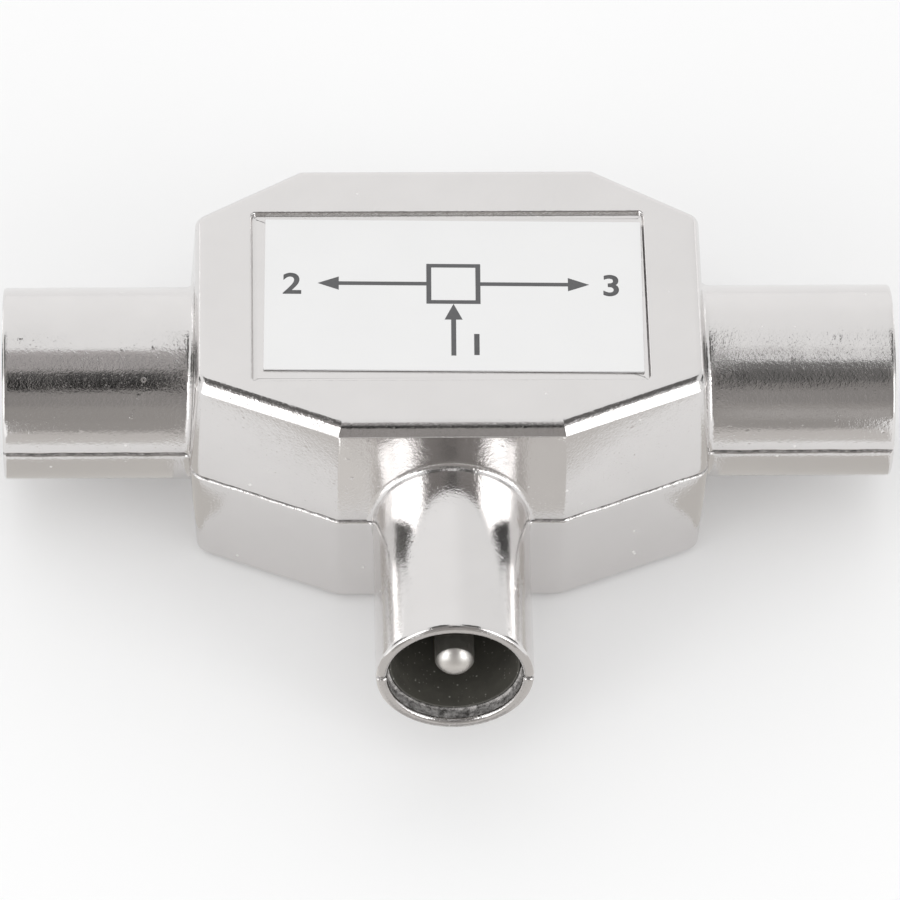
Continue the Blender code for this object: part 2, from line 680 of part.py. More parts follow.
def make_chip(name, centre, along_x, material):
    """Ceramic chip capacitor: a small block with slightly thicker metal ends."""
    half = CHIP_LENGTH / 2
    sections = []
    for station, step in ((-half, 0.0), (-half + CHIP_TERMINAL, 0.0), (-half + CHIP_TERMINAL, CHIP_STEP),
                          (half - CHIP_TERMINAL, CHIP_STEP), (half - CHIP_TERMINAL, 0.0), (half, 0.0)):
        across = CHIP_WIDTH / 2 - step
        low, high = PART_SEAT + step, PART_SEAT + CHIP_HEIGHT - step
        ring = []
        for side, z in ((-across, low), (across, low), (across, high), (-across, high)):
            x, y = (station, side) if along_x else (side, station)
            ring.append((centre[0] + x, centre[1] + y, z))
        sections.append(ring)
    return finish(add_solid(name, loft(sections)), material)


def make_solder(name, spot, tail_end, direction, material):
    """Mound of solder that covers the end of a tail on its pad."""
    top = AXIS_HEIGHT + TAIL_RADIUS + SOLDER_COVER
    base = PART_SEAT
    profile = [(base, 0.0)]
    for step in range(CORNER_STEPS):
        turn = math.pi / 2 * step / CORNER_STEPS
        profile.append((base + (top - base) * math.sin(turn), SOLDER_RADIUS * math.cos(turn)))
    profile.append((top, 0.0))
    mound = add_solid(name, turned(profile, (0, 0, 1), TINY_STEPS, (spot[0], spot[1], 0)))
    tail = rod(tail_end - FIT, tail_end + 2 * SOLDER_RADIUS, TAIL_RADIUS + FIT, direction, SMALL_STEPS)
    combine(mound, add_solid("tail", tail), "DIFFERENCE")
    return finish(mound, material)


def strip_outline(centre_line, half):
    """Closed outline of a bent strip, half of its thickness on each side of the centre line."""
    points = [Vector(point) for point in centre_line]
    sides = ([], [])
    for i, point in enumerate(points):
        runs = []
        if i:
            runs.append((point - points[i - 1]).normalized())
        if i < len(points) - 1:
            runs.append((points[i + 1] - point).normalized())
        normals = [Vector((-run.y, run.x)) for run in runs]
        mitre = sum(normals, Vector((0.0, 0.0))).normalized()
        offset = mitre * (half / mitre.dot(normals[0]))
        sides[0].append(point + offset)
        sides[1].append(point - offset)
    return sides[0] + sides[1][::-1]


def make_earth_spring(material):
    """Bent strip that joins the board's earth to the back wall of the lower shell."""
    half = SPRING_THICKNESS / 2
    low = PART_SEAT + half
    draft = math.tan(WALL_DRAFT)
    wall = BODY_BACK - WALL - half - 2 * FIT
    foot = BOARD_BACK - SPRING_FOOT
    bend = BOARD_BACK + SPRING_OVERHANG
    bottom = AXIS_HEIGHT - SPRING_RISE
    centre_line = [(foot, low), (bend, low), (wall - draft * SPRING_RISE - half, bottom + SPRING_RISE / 2),
                   (wall - draft * SPRING_RISE, bottom)]
    outline = strip_outline(centre_line, half)
    centre_x = CORE_CENTRE_X + CORE_WIDTH / 2
    ends = (centre_x - SPRING_WIDTH / 2, centre_x + SPRING_WIDTH / 2)
    return finish(add_solid("earth_spring", loft([[(x, y, z) for y, z in outline] for x in ends])), material)


def main():
    clear_scene()
    nickel = make_material("nickel_plated_zinc", (0.72, 0.71, 0.69), 0.28, 1.0)
    label_white = make_material("label_vinyl", (0.88, 0.88, 0.87), 0.45, 0.0)
    black = make_material("black_plastic", (0.02, 0.02, 0.02), 0.35, 0.0)
    contact_metal = make_material("nickel_plated_brass", (0.76, 0.74, 0.68), 0.22, 1.0)
    laminate = make_material("board_laminate", (0.42, 0.26, 0.10), 0.55, 0.0)
    ferrite = make_material("ferrite", (0.09, 0.09, 0.10), 0.6, 0.0)
    enamel = make_material("enamelled_copper", (0.55, 0.16, 0.06), 0.3, 0.6)
    ceramic = make_material("ceramic_body", (0.62, 0.50, 0.33), 0.4, 0.0)
    resistor_coat = make_material("resistor_coat", (0.70, 0.60, 0.42), 0.45, 0.0)
    solder = make_material("solder", (0.66, 0.66, 0.67), 0.3, 1.0)
    bronze = make_material("spring_bronze", (0.72, 0.52, 0.26), 0.3, 1.0)

    make_upper_shell(nickel)
    make_lower_shell(nickel)
    make_label(label_white)
    make_plug_insulator(black)
    make_plug_pin(contact_metal)
    make_board(laminate)
    make_core("matching_core", -CORE_CENTRE_X, ferrite)
    make_core("splitter_core", CORE_CENTRE_X, ferrite)
    make_winding("matching_winding", -CORE_CENTRE_X, enamel)
    make_winding("splitter_winding", CORE_CENTRE_X, enamel)
    make_resistor(resistor_coat)
    make_earth_spring(bronze)

    input_spot = (0.0, -PLUG_TAIL_END)
    make_solder("input_solder", input_spot, PLUG_TAIL_END, (0, -1, 0), solder)
    chip_y = -PLUG_TAIL_END
    make_chip("input_capacitor", (SOLDER_RADIUS + CHIP_FROM_TAIL + CHIP_LENGTH / 2, chip_y), True, ceramic)
    for side, word in ((-1, "left"), (1, "right")):
        direction = (side, 0, 0)
        make_socket_insulator(f"{word}_socket_insulator", direction, black)
        make_socket_contact(f"{word}_socket_contact", direction, contact_metal)
        spot = (side * SOCKET_TAIL_END, 0.0)
        make_solder(f"{word}_output_solder", spot, SOCKET_TAIL_END, direction, solder)
        chip_spot = (side * SOCKET_TAIL_END, SOLDER_RADIUS + CHIP_FROM_TAIL + CHIP_LENGTH / 2)
        make_chip(f"{word}_output_capacitor", chip_spot, False, ceramic)


main()
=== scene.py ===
"""Looks of a two way aerial splitter: a nickel plated die-cast T with a plug, two sockets and a label.

Metres, in the frame of the CAD part: the underside is at Z = 0, the sockets lie along X, the plug
points along -Y. Each section makes one piece, in the order in which the splitter is put together.
"""

import math

import bmesh
import bpy
import numpy as np
from mathutils import Matrix, Vector


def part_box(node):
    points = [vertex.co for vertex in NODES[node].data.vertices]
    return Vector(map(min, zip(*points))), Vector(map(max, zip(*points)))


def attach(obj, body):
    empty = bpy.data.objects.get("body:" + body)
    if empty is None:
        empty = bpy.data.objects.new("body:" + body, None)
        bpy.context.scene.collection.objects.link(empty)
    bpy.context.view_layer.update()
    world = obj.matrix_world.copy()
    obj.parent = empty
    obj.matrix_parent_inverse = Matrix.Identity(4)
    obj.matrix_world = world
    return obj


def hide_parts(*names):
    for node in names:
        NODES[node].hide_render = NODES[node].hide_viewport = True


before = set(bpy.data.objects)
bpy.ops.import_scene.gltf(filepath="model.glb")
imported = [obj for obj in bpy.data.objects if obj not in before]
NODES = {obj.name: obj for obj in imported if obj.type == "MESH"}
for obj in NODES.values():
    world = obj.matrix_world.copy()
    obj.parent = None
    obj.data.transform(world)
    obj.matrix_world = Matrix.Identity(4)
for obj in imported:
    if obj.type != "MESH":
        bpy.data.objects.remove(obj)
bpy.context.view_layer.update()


# Lower casting
# Zinc, die-cast as one half of the T with half of every tube, then nickel plated. It carries the
# board and the insulators. Its parting edge is rounded, and its draft narrows it towards the base.
MM = 0.001
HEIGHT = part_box("upper_shell")[1].z
AXIS = HEIGHT / 2
SOCKET_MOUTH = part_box("upper_shell")[1].x
PLUG_MOUTH = -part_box("upper_shell")[0].y
HALF_WIDTH = 15.9 * MM
FRONT_WALL = 11.4 * MM          # socket axis to the front wall
BACK_WALL = 11.3 * MM
HALF_FRONT = 6.9 * MM           # half of the flat front wall
HALF_BACK = 9.2 * MM
SIDE_FRONT = 7.5 * MM           # socket axis to the front end of a side wall
SIDE_BACK = 7.2 * MM
CORNER_RADII = np.array([0.5, 0.5, 1.2, 1.2, 0.5, 0.5, 1.2, 1.2]) * MM
DRAFT = math.tan(math.radians(3.2))
BEVEL_DROP = 0.705 * MM
BEVEL_INSET = 0.55 * MM
SIDE_SHARE = 0.4                # of that inset, at the two side walls
BEVEL_FOOT_ROUND = 0.22 * MM
BEVEL_HEAD_ROUND = 0.85 * MM
WALL = 1.5 * MM
ROOF = 1.6 * MM
HALF_GAP = 0.05 * MM            # half of the gap between the castings
LIP_ROUND = 0.20 * MM           # rounding of the parting edge
WOBBLE = 0.022 * MM             # how unevenly the parting edge runs
WOBBLE_REACH = 0.45 * MM        # how far up the wall that shows
SEAM_REACH = 0.3 * MM           # how far from the parting edge the polish is poor


def unit(v):
    """Vectors of length one: each divided by the root of the sum of its squares."""
    return v / np.sqrt((v * v).sum(-1, keepdims=True))


def arcs(corners, before, after, radii, steps):
    """Arc at each corner P of a broken line, touching the runs to the points before and after it.

    With h half the angle between the runs, the centre is r / sin h along the bisector from P. The
    arc runs from one touching point's spoke s to the other's, e, over a turn w = pi - 2 h, as
    (sin((1 - t) w) s + sin(t w) e) / sin w for t from 0 to 1.
    """
    back, ahead = unit(before - corners), unit(after - corners)
    half = np.arccos(np.clip((back * ahead).sum(-1), -1, 1))[..., None] / 2
    radii = np.broadcast_to(radii, half.shape[:-1])[..., None]
    centre = corners + unit(back + ahead) * radii / np.sin(half)
    start = corners + back * radii / np.tan(half) - centre
    stop = corners + ahead * radii / np.tan(half) - centre
    turn = np.pi - 2 * half[..., None, :]
    t = np.linspace(0, 1, steps + 1)[:, None]
    spokes = np.sin((1 - t) * turn) * start[..., None, :] + np.sin(t * turn) * stop[..., None, :]
    return centre[..., None, :] + spokes / np.sin(turn)


def rounded_line(points, radii, steps):
    """Open broken line whose inner corners are arcs of the given radii; its two ends stay."""
    points = np.array(points, float)
    bends = arcs(points[1:-1], points[:-2], points[2:], np.array(radii, float), steps)
    return np.concatenate([points[:1], bends.reshape(-1, points.shape[1]), points[-1:]])


def plan_loops(corners, inset, radii, corner_steps=10, run_points=22):
    """Loops in plan: the eight sided outline moved inwards by each inset, its corners rounded.

    A wall with outward normal n obeys n . p = d - inset, and a corner is where two walls meet. The
    inset is one per row, or one per row and wall. Each arc's radius shrinks by half the inset, and
    the straight runs are divided evenly.
    """
    inset = np.asarray(inset, float)
    inset = np.broadcast_to(inset.reshape(len(inset), -1), (len(inset), len(corners)))
    run = np.roll(corners, -1, axis=0) - corners
    normal = unit(np.stack([run[:, 1], -run[:, 0]], -1))
    reach = (normal * corners).sum(-1) - inset
    other, other_reach = np.roll(normal, 1, axis=0), np.roll(reach, 1, axis=1)
    cross = other[:, 0] * normal[:, 1] - other[:, 1] * normal[:, 0]
    x = (other_reach * normal[:, 1] - reach * other[:, 1]) / cross
    y = (other[:, 0] * reach - normal[:, 0] * other_reach) / cross
    p = np.stack([x, y], -1)
    radii = np.maximum(radii - 0.5 * inset, 0.06 * MM)
    bends = arcs(p, np.roll(p, 1, axis=1), np.roll(p, -1, axis=1), radii, corner_steps)
    t = np.linspace(0, 1, run_points + 2)[1:-1, None]
    starts, stops = bends[:, :, -1:, :], np.roll(bends[:, :, :1, :], -1, axis=1)
    runs = starts * (1 - t) + stops * t
    return np.concatenate([bends, runs], axis=2).reshape(len(inset), -1, 2)


def at_height(loops, heights):
    """Plan loops lifted to their heights, as an array (row, point, xyz)."""
    lift = np.broadcast_to(np.asarray(heights, float)[:, None, None], loops.shape[:2] + (1,))
    return np.concatenate([loops, lift], axis=2)


def uneven(rows):
    """The parting edge wanders: near it, points move up or down by a sum of three sine waves of x and y."""
    x, y, z = np.moveaxis(rows[..., :3], -1, 0) / MM
    wave = np.sin(1.9 * x + 0.7 * y) + 0.7 * np.sin(4.3 * y - 2.9 * x + 1) + 0.4 * np.sin(9.1 * x + 7.7 * y)
    near = np.clip(1 - (abs(z - AXIS / MM) * MM - HALF_GAP) / WOBBLE_REACH, 0, 1)
    moved = rows.copy()
    moved[..., 2] += WOBBLE * wave * near
    return moved


def with_rawness(rows, own=0.0):
    """Rows with a fourth value: how raw the skin is, from 0, polished, to 1. It is its own, or the seam's."""
    seam = 0.95 * np.clip(1 - (abs(rows[..., 2] - AXIS) - HALF_GAP) / SEAM_REACH, 0, 1)
    return np.concatenate([rows, np.maximum(own, seam)[..., None]], axis=-1)


def sector_loops(outer, inner, gap, lip, spread, arc_steps=36, lip_steps=5):
    """Cross sections of a tube split lengthwise: closed loops round a sector of an annulus.

    Each end face stands off its radial line by the gap, and meets the outer and the inner arc in a
    fillet of the lip's radius, whose centre C lies at |C| = outer - lip (or inner + lip) and gap +
    lip above the line. The second half of the loop mirrors the first about the sector's middle.
    """
    outer, inner, gap, lip = (np.asarray(v, float)[:, None] for v in (outer, inner, gap, lip))
    middle = spread / 2

    def half_chain(radius, inwards):
        rise = gap + lip
        away = np.sqrt((radius + inwards * lip) ** 2 - rise ** 2)
        lean = np.arctan2(rise, away)
        stop = lean - np.pi * (inwards > 0)
        t = -np.pi / 2 + (stop + np.pi / 2) * np.linspace(0, 1, lip_steps + 1)
        fillet = np.stack([away + lip * np.cos(t), rise + lip * np.sin(t)], -1)
        t = lean + (middle - lean) * np.linspace(0, 1, arc_steps + 1)[1:]
        arc = np.stack([radius * np.cos(t), radius * np.sin(t)], -1)
        return np.concatenate([fillet, arc], axis=1)

    def mirrored(chain):
        c, s = math.cos(spread), math.sin(spread)
        a, b = chain[..., 0], chain[..., 1]
        return np.stack([c * a + s * b, s * a - c * b], -1)[:, ::-1]

    face = np.stack([(outer + inner) / 2, gap + 0 * outer], -1)
    chains = []
    for radius, inwards in ((outer, -1), (inner, 1)):
        half = half_chain(radius, inwards)
        chains.append(np.concatenate([half, mirrored(half)[:, 1:]], axis=1))
    return np.concatenate([face, chains[0], mirrored(face), chains[1][:, ::-1]], axis=1)


def along(direction, up, stations, loops):
    """Points s d + a (d x up) + b up from the axes' crossing, for loops of (a, b) at stations s."""
    d, up = np.array(direction, float), np.array(up, float)
    side = np.cross(d, up)
    a, b = loops[..., 0:1], loops[..., 1:2]
    return stations[..., None] * d + a * side + b * up + np.array([0, 0, AXIS])


def skin(name, stacks, material, smooth_angle=40, flat_height=None):
    """Piece of closed skins, each a stack (row, point, xyz) of closed loops joined row to row by quads.

    An end loop of K points is closed by a strip that joins point k to point K - k. A stack whose last
    row is its first again is a ring, and its ends are joined instead. End loops at the flat height
    are closed together, by flat triangles between them. A fourth value of a point is its rawness.
    """
    points, faces, offset = [], [], 0
    for rows in stacks:
        ring = np.allclose(rows[0], rows[-1])
        rows = rows[:-1] if ring else rows
        count, k_count = rows.shape[:2]
        index = np.arange(count * k_count).reshape(count, k_count) + offset
        first = index if ring else index[:-1]
        second = np.roll(index, -1, axis=0) if ring else index[1:]
        quads = np.stack([first, np.roll(first, -1, 1), np.roll(second, -1, 1), second], -1)
        faces += quads.reshape(-1, 4).tolist()
        if not ring:
            k, half = np.arange(1, k_count // 2 - 1), k_count // 2
            ends = [(rows[0], index[0]), (rows[-1], index[-1])]
            for loop in [i for r, i in ends if flat_height is None or abs(r[0, 2] - flat_height) > 1e-7]:
                strip = np.stack([loop[k], loop[k + 1], loop[k_count - k - 1], loop[k_count - k]], -1)
                faces += strip.tolist()
                faces += [loop[[0, 1, -1]].tolist(), loop[[half - 1, half, half + 1]].tolist()]
        bare = rows if rows.shape[-1] == 4 else np.concatenate([rows, 0 * rows[..., :1]], axis=-1)
        points.append(bare.reshape(-1, 4))
        offset += count * k_count
    points = np.concatenate(points)
    mesh = bpy.data.meshes.new(name)
    mesh.from_pydata(points[:, :3].tolist(), [], faces)
    rawness = mesh.attributes.new("rawness", "FLOAT", "POINT")
    rawness.data.foreach_set("value", points[:, 3].astype(np.float32))
    solid = bmesh.new()
    solid.from_mesh(mesh)
    if flat_height is not None:
        rim = [edge for edge in solid.edges if edge.is_boundary]
        bmesh.ops.triangle_fill(solid, edges=rim, use_beauty=True, normal=(0, 0, 1))
    bmesh.ops.recalc_face_normals(solid, faces=solid.faces)
    solid.to_mesh(mesh)
    solid.free()
    mesh.shade_smooth()
    mesh.set_sharp_from_angle(angle=math.radians(smooth_angle))
    mesh.materials.append(material)
    piece = bpy.data.objects.new(name, mesh)
    bpy.context.scene.collection.objects.link(piece)
    piece.modifiers.new("flat_faces_stay_flat", "WEIGHTED_NORMAL").keep_sharp = True
    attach(piece, "root")
    return piece


def add(tree, kind, inputs, **settings):
    """Adds a shader node. Each of its inputs gets a plain value, or a link where a socket is given."""
    node = tree.nodes.new(kind)
    for key, value in settings.items():
        setattr(node, key, value)
    for key, value in inputs.items():
        if isinstance(value, bpy.types.NodeSocket):
            tree.links.new(value, node.inputs[key])
        else:
            node.inputs[key].default_value = value
    return node


def start_group(name, inputs, outputs):
    """Empty shader node group with its sockets, its input node and its output node."""
    group = bpy.data.node_groups.new(name, "ShaderNodeTree")
    for label, (kind, value) in inputs.items():
        socket = group.interface.new_socket(label, in_out="INPUT", socket_type=kind)
        if value is not None:
            socket.default_value = value
    for label in outputs:
        group.interface.new_socket(label, in_out="OUTPUT", socket_type="NodeSocketFloat")
    return group, group.nodes.new("NodeGroupInput").outputs, group.nodes.new("NodeGroupOutput").inputs


def math_node(tree, operation, *values, clamp=False):
    """Result socket of a Math node on one, two or three numbers or sockets."""
    node = add(tree, "ShaderNodeMath", dict(enumerate(values)), operation=operation, use_clamp=clamp)
    return node.outputs[0]


def noise(tree, place, scale, detail, roughness=0.5):
    """Value socket of a noise at a position socket."""
    values = {"Vector": place, "Scale": scale, "Detail": detail, "Roughness": roughness}
    return add(tree, "ShaderNodeTexNoise", values).outputs["Fac"]


def specks_group():
    """Group that scatters small round specks: a cell's nearest point within the size, in a share of cells."""
    group, given, result = start_group(
        "scattered_specks",
        {"Position": ("NodeSocketVector", None), "Scale": ("NodeSocketFloat", 1000.0),
         "Size": ("NodeSocketFloat", 0.1), "Share": ("NodeSocketFloat", 0.3)},
        ["Mask"])
    cells = add(group, "ShaderNodeTexVoronoi", {"Vector": given["Position"], "Scale": given["Scale"]})
    pick = add(group, "ShaderNodeSeparateColor", {"Color": cells.outputs["Color"]})
    chosen = math_node(group, "LESS_THAN", pick.outputs["Red"], given["Share"])
    size = math_node(group, "MULTIPLY", given["Size"], math_node(group, "ADD", pick.outputs["Green"], 0.4))
    inside = math_node(group, "DIVIDE", cells.outputs["Distance"], size)
    dome = math_node(group, "SUBTRACT", 1.0, inside, clamp=True)
    group.links.new(math_node(group, "MULTIPLY", dome, chosen), result["Mask"])
    return group


def skin_group(specks):
    """Group for the skin of a plated casting: its grain, waves, pimples and sand, as a height in metres."""
    group, given, result = start_group(
        "plated_skin",
        {"Position": ("NodeSocketVector", None), "Grain Scale": ("NodeSocketFloat", 5000.0),
         "Grain Height": ("NodeSocketFloat", 2e-6), "Wave Height": ("NodeSocketFloat", 2e-6),
         "Pimple Height": ("NodeSocketFloat", 1e-5), "Sand Height": ("NodeSocketFloat", 5e-6),
         "Fine Height": ("NodeSocketFloat", 2e-6)},
        ["Height"])
    place = given["Position"]
    grain = noise(group, place, given["Grain Scale"], 2.0, 0.55)
    waves = noise(group, place, 420.0, 1.0)
    fine = noise(group, place, 15000.0, 1.0)
    pimples = add(group, "ShaderNodeGroup", {"Position": place, "Scale": 1100.0, "Size": 0.16, "Share": 0.35},
                  node_tree=specks)
    sand = add(group, "ShaderNodeGroup", {"Position": place, "Scale": 6500.0, "Size": 0.32, "Share": 0.30},
               node_tree=specks)
    height = math_node(group, "MULTIPLY", grain, given["Grain Height"])
    height = math_node(group, "MULTIPLY_ADD", waves, given["Wave Height"], height)
    height = math_node(group, "MULTIPLY_ADD", pimples.outputs["Mask"], given["Pimple Height"], height)
    height = math_node(group, "MULTIPLY_ADD", fine, given["Fine Height"], height)
    height = math_node(group, "MULTIPLY_ADD", sand.outputs["Mask"], given["Sand Height"], height)
    group.links.new(height, result["Height"])
    return group


def start_material(name):
    """New material with only a Principled shader, its tree and its object coordinates."""
    material = bpy.data.materials.new(name)
    material.use_nodes = True
    tree = material.node_tree
    shader = tree.nodes["Principled BSDF"]
    return material, tree, shader, add(tree, "ShaderNodeTexCoord", {}).outputs["Object"]


def two_tones(tree, factor, first, second):
    """Colour socket that goes by a factor from one tone to another. A tone is three numbers or a socket."""
    a, b = (tone if isinstance(tone, bpy.types.NodeSocket) else (*tone, 1.0) for tone in (first, second))
    return add(tree, "ShaderNodeMix", {"Factor": factor, "A": a, "B": b}, data_type="RGBA").outputs["Result"]


def give_surface(tree, shader, colour, rough, height, distance):
    """Feeds a shader its colour, its roughness and, through a bump, its height."""
    tree.links.new(colour, shader.inputs["Base Color"])
    tree.links.new(rough, shader.inputs["Roughness"])
    bump = add(tree, "ShaderNodeBump", {"Height": height, "Distance": distance})
    tree.links.new(bump.outputs["Normal"], shader.inputs["Normal"])


def blemish_group():
    """Group for one blemish of the plating: a ridge of even width round a centre, as a height in metres."""
    group, given, result = start_group(
        "plating_blemish",
        {"Position": ("NodeSocketVector", None), "Centre": ("NodeSocketVector", None),
         "Radius": ("NodeSocketFloat", 1e-4), "Width": ("NodeSocketFloat", 5e-5),
         "Height": ("NodeSocketFloat", 1e-5)},
        ["Height"])
    away = add(group, "ShaderNodeVectorMath", {0: given["Position"], 1: given["Centre"]},
               operation="DISTANCE")
    off = math_node(group, "ABSOLUTE", math_node(group, "SUBTRACT", away.outputs["Value"], given["Radius"]))
    ridge = math_node(group, "SUBTRACT", 1.0, math_node(group, "DIVIDE", off, given["Width"]), clamp=True)
    group.links.new(math_node(group, "MULTIPLY", ridge, given["Height"]), result["Height"])
    return group


# Blemishes on the sockets' tubes, as centre, radius, width and height in millimetres: a burst blister,
# a scratch of two hooks, a low swelling, a soft ring and a pit
BLEMISHES = [((-18.65, -3.80, 12.46), 0.12, 0.060, 0.009), ((-19.25, -5.07, 10.98), 0.10, 0.050, 0.009),
             ((-19.40, -5.22, 10.70), 0.11, 0.050, 0.009), ((24.80, 2.77, 13.16), 0.0, 1.10, 0.030),
             ((23.66, -1.56, 13.64), 0.22, 0.20, 0.006), ((26.54, -5.69, 9.52), 0.0, 0.12, -0.030)]


def cast_nickel():
    """Bright nickel over a die-cast skin: warm grey, faintly clouded, with grain, pimples, dust and dark
    blots where it is rawest, which in the bores are painted shade.
    """
    material, tree, shader, place = start_material("cast_nickel")
    relief = add(tree, "ShaderNodeGroup",
                 {"Position": place, "Grain Scale": 5200.0, "Grain Height": 5.5e-6, "Wave Height": 7e-6,
                  "Pimple Height": 1.1e-5, "Sand Height": 4e-6, "Fine Height": 2.6e-6},
                 node_tree=plated_skin)
    raw = add(tree, "ShaderNodeAttribute", {}, attribute_name="rawness").outputs["Fac"]
    ragged = noise(tree, place, 2600.0, 3.0, 0.7)
    strength = math_node(tree, "MULTIPLY_ADD", math_node(tree, "MULTIPLY", raw, raw), 5e-5,
                         math_node(tree, "MULTIPLY", raw, 1.5e-5))
    crust = math_node(tree, "MULTIPLY", ragged, strength)
    cloud = noise(tree, place, 300.0, 3.0, 0.6)
    clouded = math_node(tree, "MULTIPLY_ADD", cloud, 1.8, 0.2)
    polish = math_node(tree, "MULTIPLY_ADD", raw, 0.9, clouded)
    height = math_node(tree, "MULTIPLY_ADD", relief.outputs["Height"], polish, crust)
    for centre, radius, width, rise in BLEMISHES:
        blemish = add(tree, "ShaderNodeGroup",
                      {"Position": place, "Centre": [v * MM for v in centre], "Radius": radius * MM,
                       "Width": width * MM, "Height": rise * MM}, node_tree=plating_blemish)
        height = math_node(tree, "ADD", height, blemish.outputs["Height"])
    dust = add(tree, "ShaderNodeGroup", {"Position": place, "Scale": 900.0, "Size": 0.075, "Share": 0.32},
               node_tree=scattered_specks)
    dusty = math_node(tree, "GREATER_THAN", dust.outputs["Mask"], 0.1)
    tint = two_tones(tree, cloud, (0.756, 0.738, 0.730), (0.704, 0.687, 0.679))
    colour = two_tones(tree, dusty, tint, (0.80, 0.79, 0.77))
    # Where the rawness passes 0.55 the skin turns to dark blots: along the parting seam a ragged dark joint,
    # and in the bores, whose rawness is one, painted shade for the dark that they reflect.
    cut = add(tree, "ShaderNodeMapRange", {"Value": raw, "From Min": 0.55, "From Max": 1.0}).outputs["Result"]
    blots = add(tree, "ShaderNodeMapRange", {"Value": ragged, "From Min": 0.38, "From Max": 0.64})
    blotted_and_shaded_colour = two_tones(tree, math_node(tree, "MULTIPLY", cut, blots.outputs["Result"]), colour,
                     (0.15, 0.145, 0.14))
    rough = math_node(tree, "MULTIPLY_ADD", cloud, 0.06, 0.075)
    rough = math_node(tree, "MULTIPLY_ADD", dusty, 0.4, rough)
    rough = math_node(tree, "MULTIPLY_ADD", cut, 0.14, math_node(tree, "MULTIPLY_ADD", raw, 0.03, rough))
    pitted = add(tree, "ShaderNodeMapRange",
                 {"Value": raw, "From Min": 0.76, "From Max": 1.0, "To Max": 0.45})
    plain = math_node(tree, "SUBTRACT", 1.0, pitted.outputs["Result"])
    metal = math_node(tree, "MULTIPLY_ADD", dusty, -0.85, plain, clamp=True)
    tree.links.new(metal, shader.inputs["Metallic"])
    give_surface(tree, shader, blotted_and_shaded_colour, rough, height, 1.0)
    return material


scattered_specks = specks_group()
plated_skin = skin_group(scattered_specks)
plating_blemish = blemish_group()
nickel = cast_nickel()

wall_corners = np.array([
    [-HALF_FRONT, -FRONT_WALL], [HALF_FRONT, -FRONT_WALL],
    [HALF_WIDTH, -SIDE_FRONT], [HALF_WIDTH, SIDE_BACK],
    [HALF_BACK, BACK_WALL], [-HALF_BACK, BACK_WALL],
    [-HALF_WIDTH, SIDE_BACK], [-HALF_WIDTH, -SIDE_FRONT]])
FLANK = AXIS - BEVEL_DROP
HEAD = FLANK * DRAFT + BEVEL_INSET      # inset of the flat face's edge


def case_profile():
    """(inset, height over the parting plane) from the cavity's roof, round the lip, to the flat face."""
    line = [(WALL, HALF_GAP), (0, HALF_GAP), (FLANK * DRAFT, FLANK), (HEAD, AXIS), (HEAD + 1 * MM, AXIS)]
    arc_steps = 7
    outside = rounded_line(line, [LIP_ROUND, BEVEL_FOOT_ROUND, BEVEL_HEAD_ROUND], arc_steps)
    lip, bevel = np.split(outside, [arc_steps + 2])
    flank = np.linspace(lip[-1], bevel[0], 10)[1:-1]
    depth = AXIS - ROOF
    cavity = np.array([(WALL + depth * DRAFT, depth)])
    return np.concatenate([cavity, lip, flank, bevel])


COLLAR = 2.4 * MM               # length and wall of the collar inside the case
COLLAR_WALL = 1.7 * MM
SOCKET_TUBE = 11.8 * MM         # diameters of the tubes and their bores
SOCKET_BORE = 9.6 * MM
PLUG_TUBE = 9.5 * MM
PLUG_BORE = 8.1 * MM
ROOT_ROUND = 0.42 * MM          # fillet where a tube leaves its wall
SEAT_DEPTH = 0.93 * MM          # mouth to the small step in the plug's bore
SEAT_STEP = 0.10 * MM
WORN_REACH = 2.4 * MM           # how far from a tube's root the polish is poor
# Each port: direction, mouth, tube, bore, wall that its tube leaves, step in its bore, and the rounding
# of its mouth's outer and inner edge
PORTS = [((1, 0, 0), SOCKET_MOUTH, SOCKET_TUBE, SOCKET_BORE, HALF_WIDTH, 0, 0.2 * MM, 0.15 * MM),
         ((-1, 0, 0), SOCKET_MOUTH, SOCKET_TUBE, SOCKET_BORE, HALF_WIDTH, 0, 0.2 * MM, 0.15 * MM),
         ((0, -1, 0), PLUG_MOUTH, PLUG_TUBE, PLUG_BORE, FRONT_WALL, SEAT_STEP, 0.3 * MM, 0.28 * MM)]


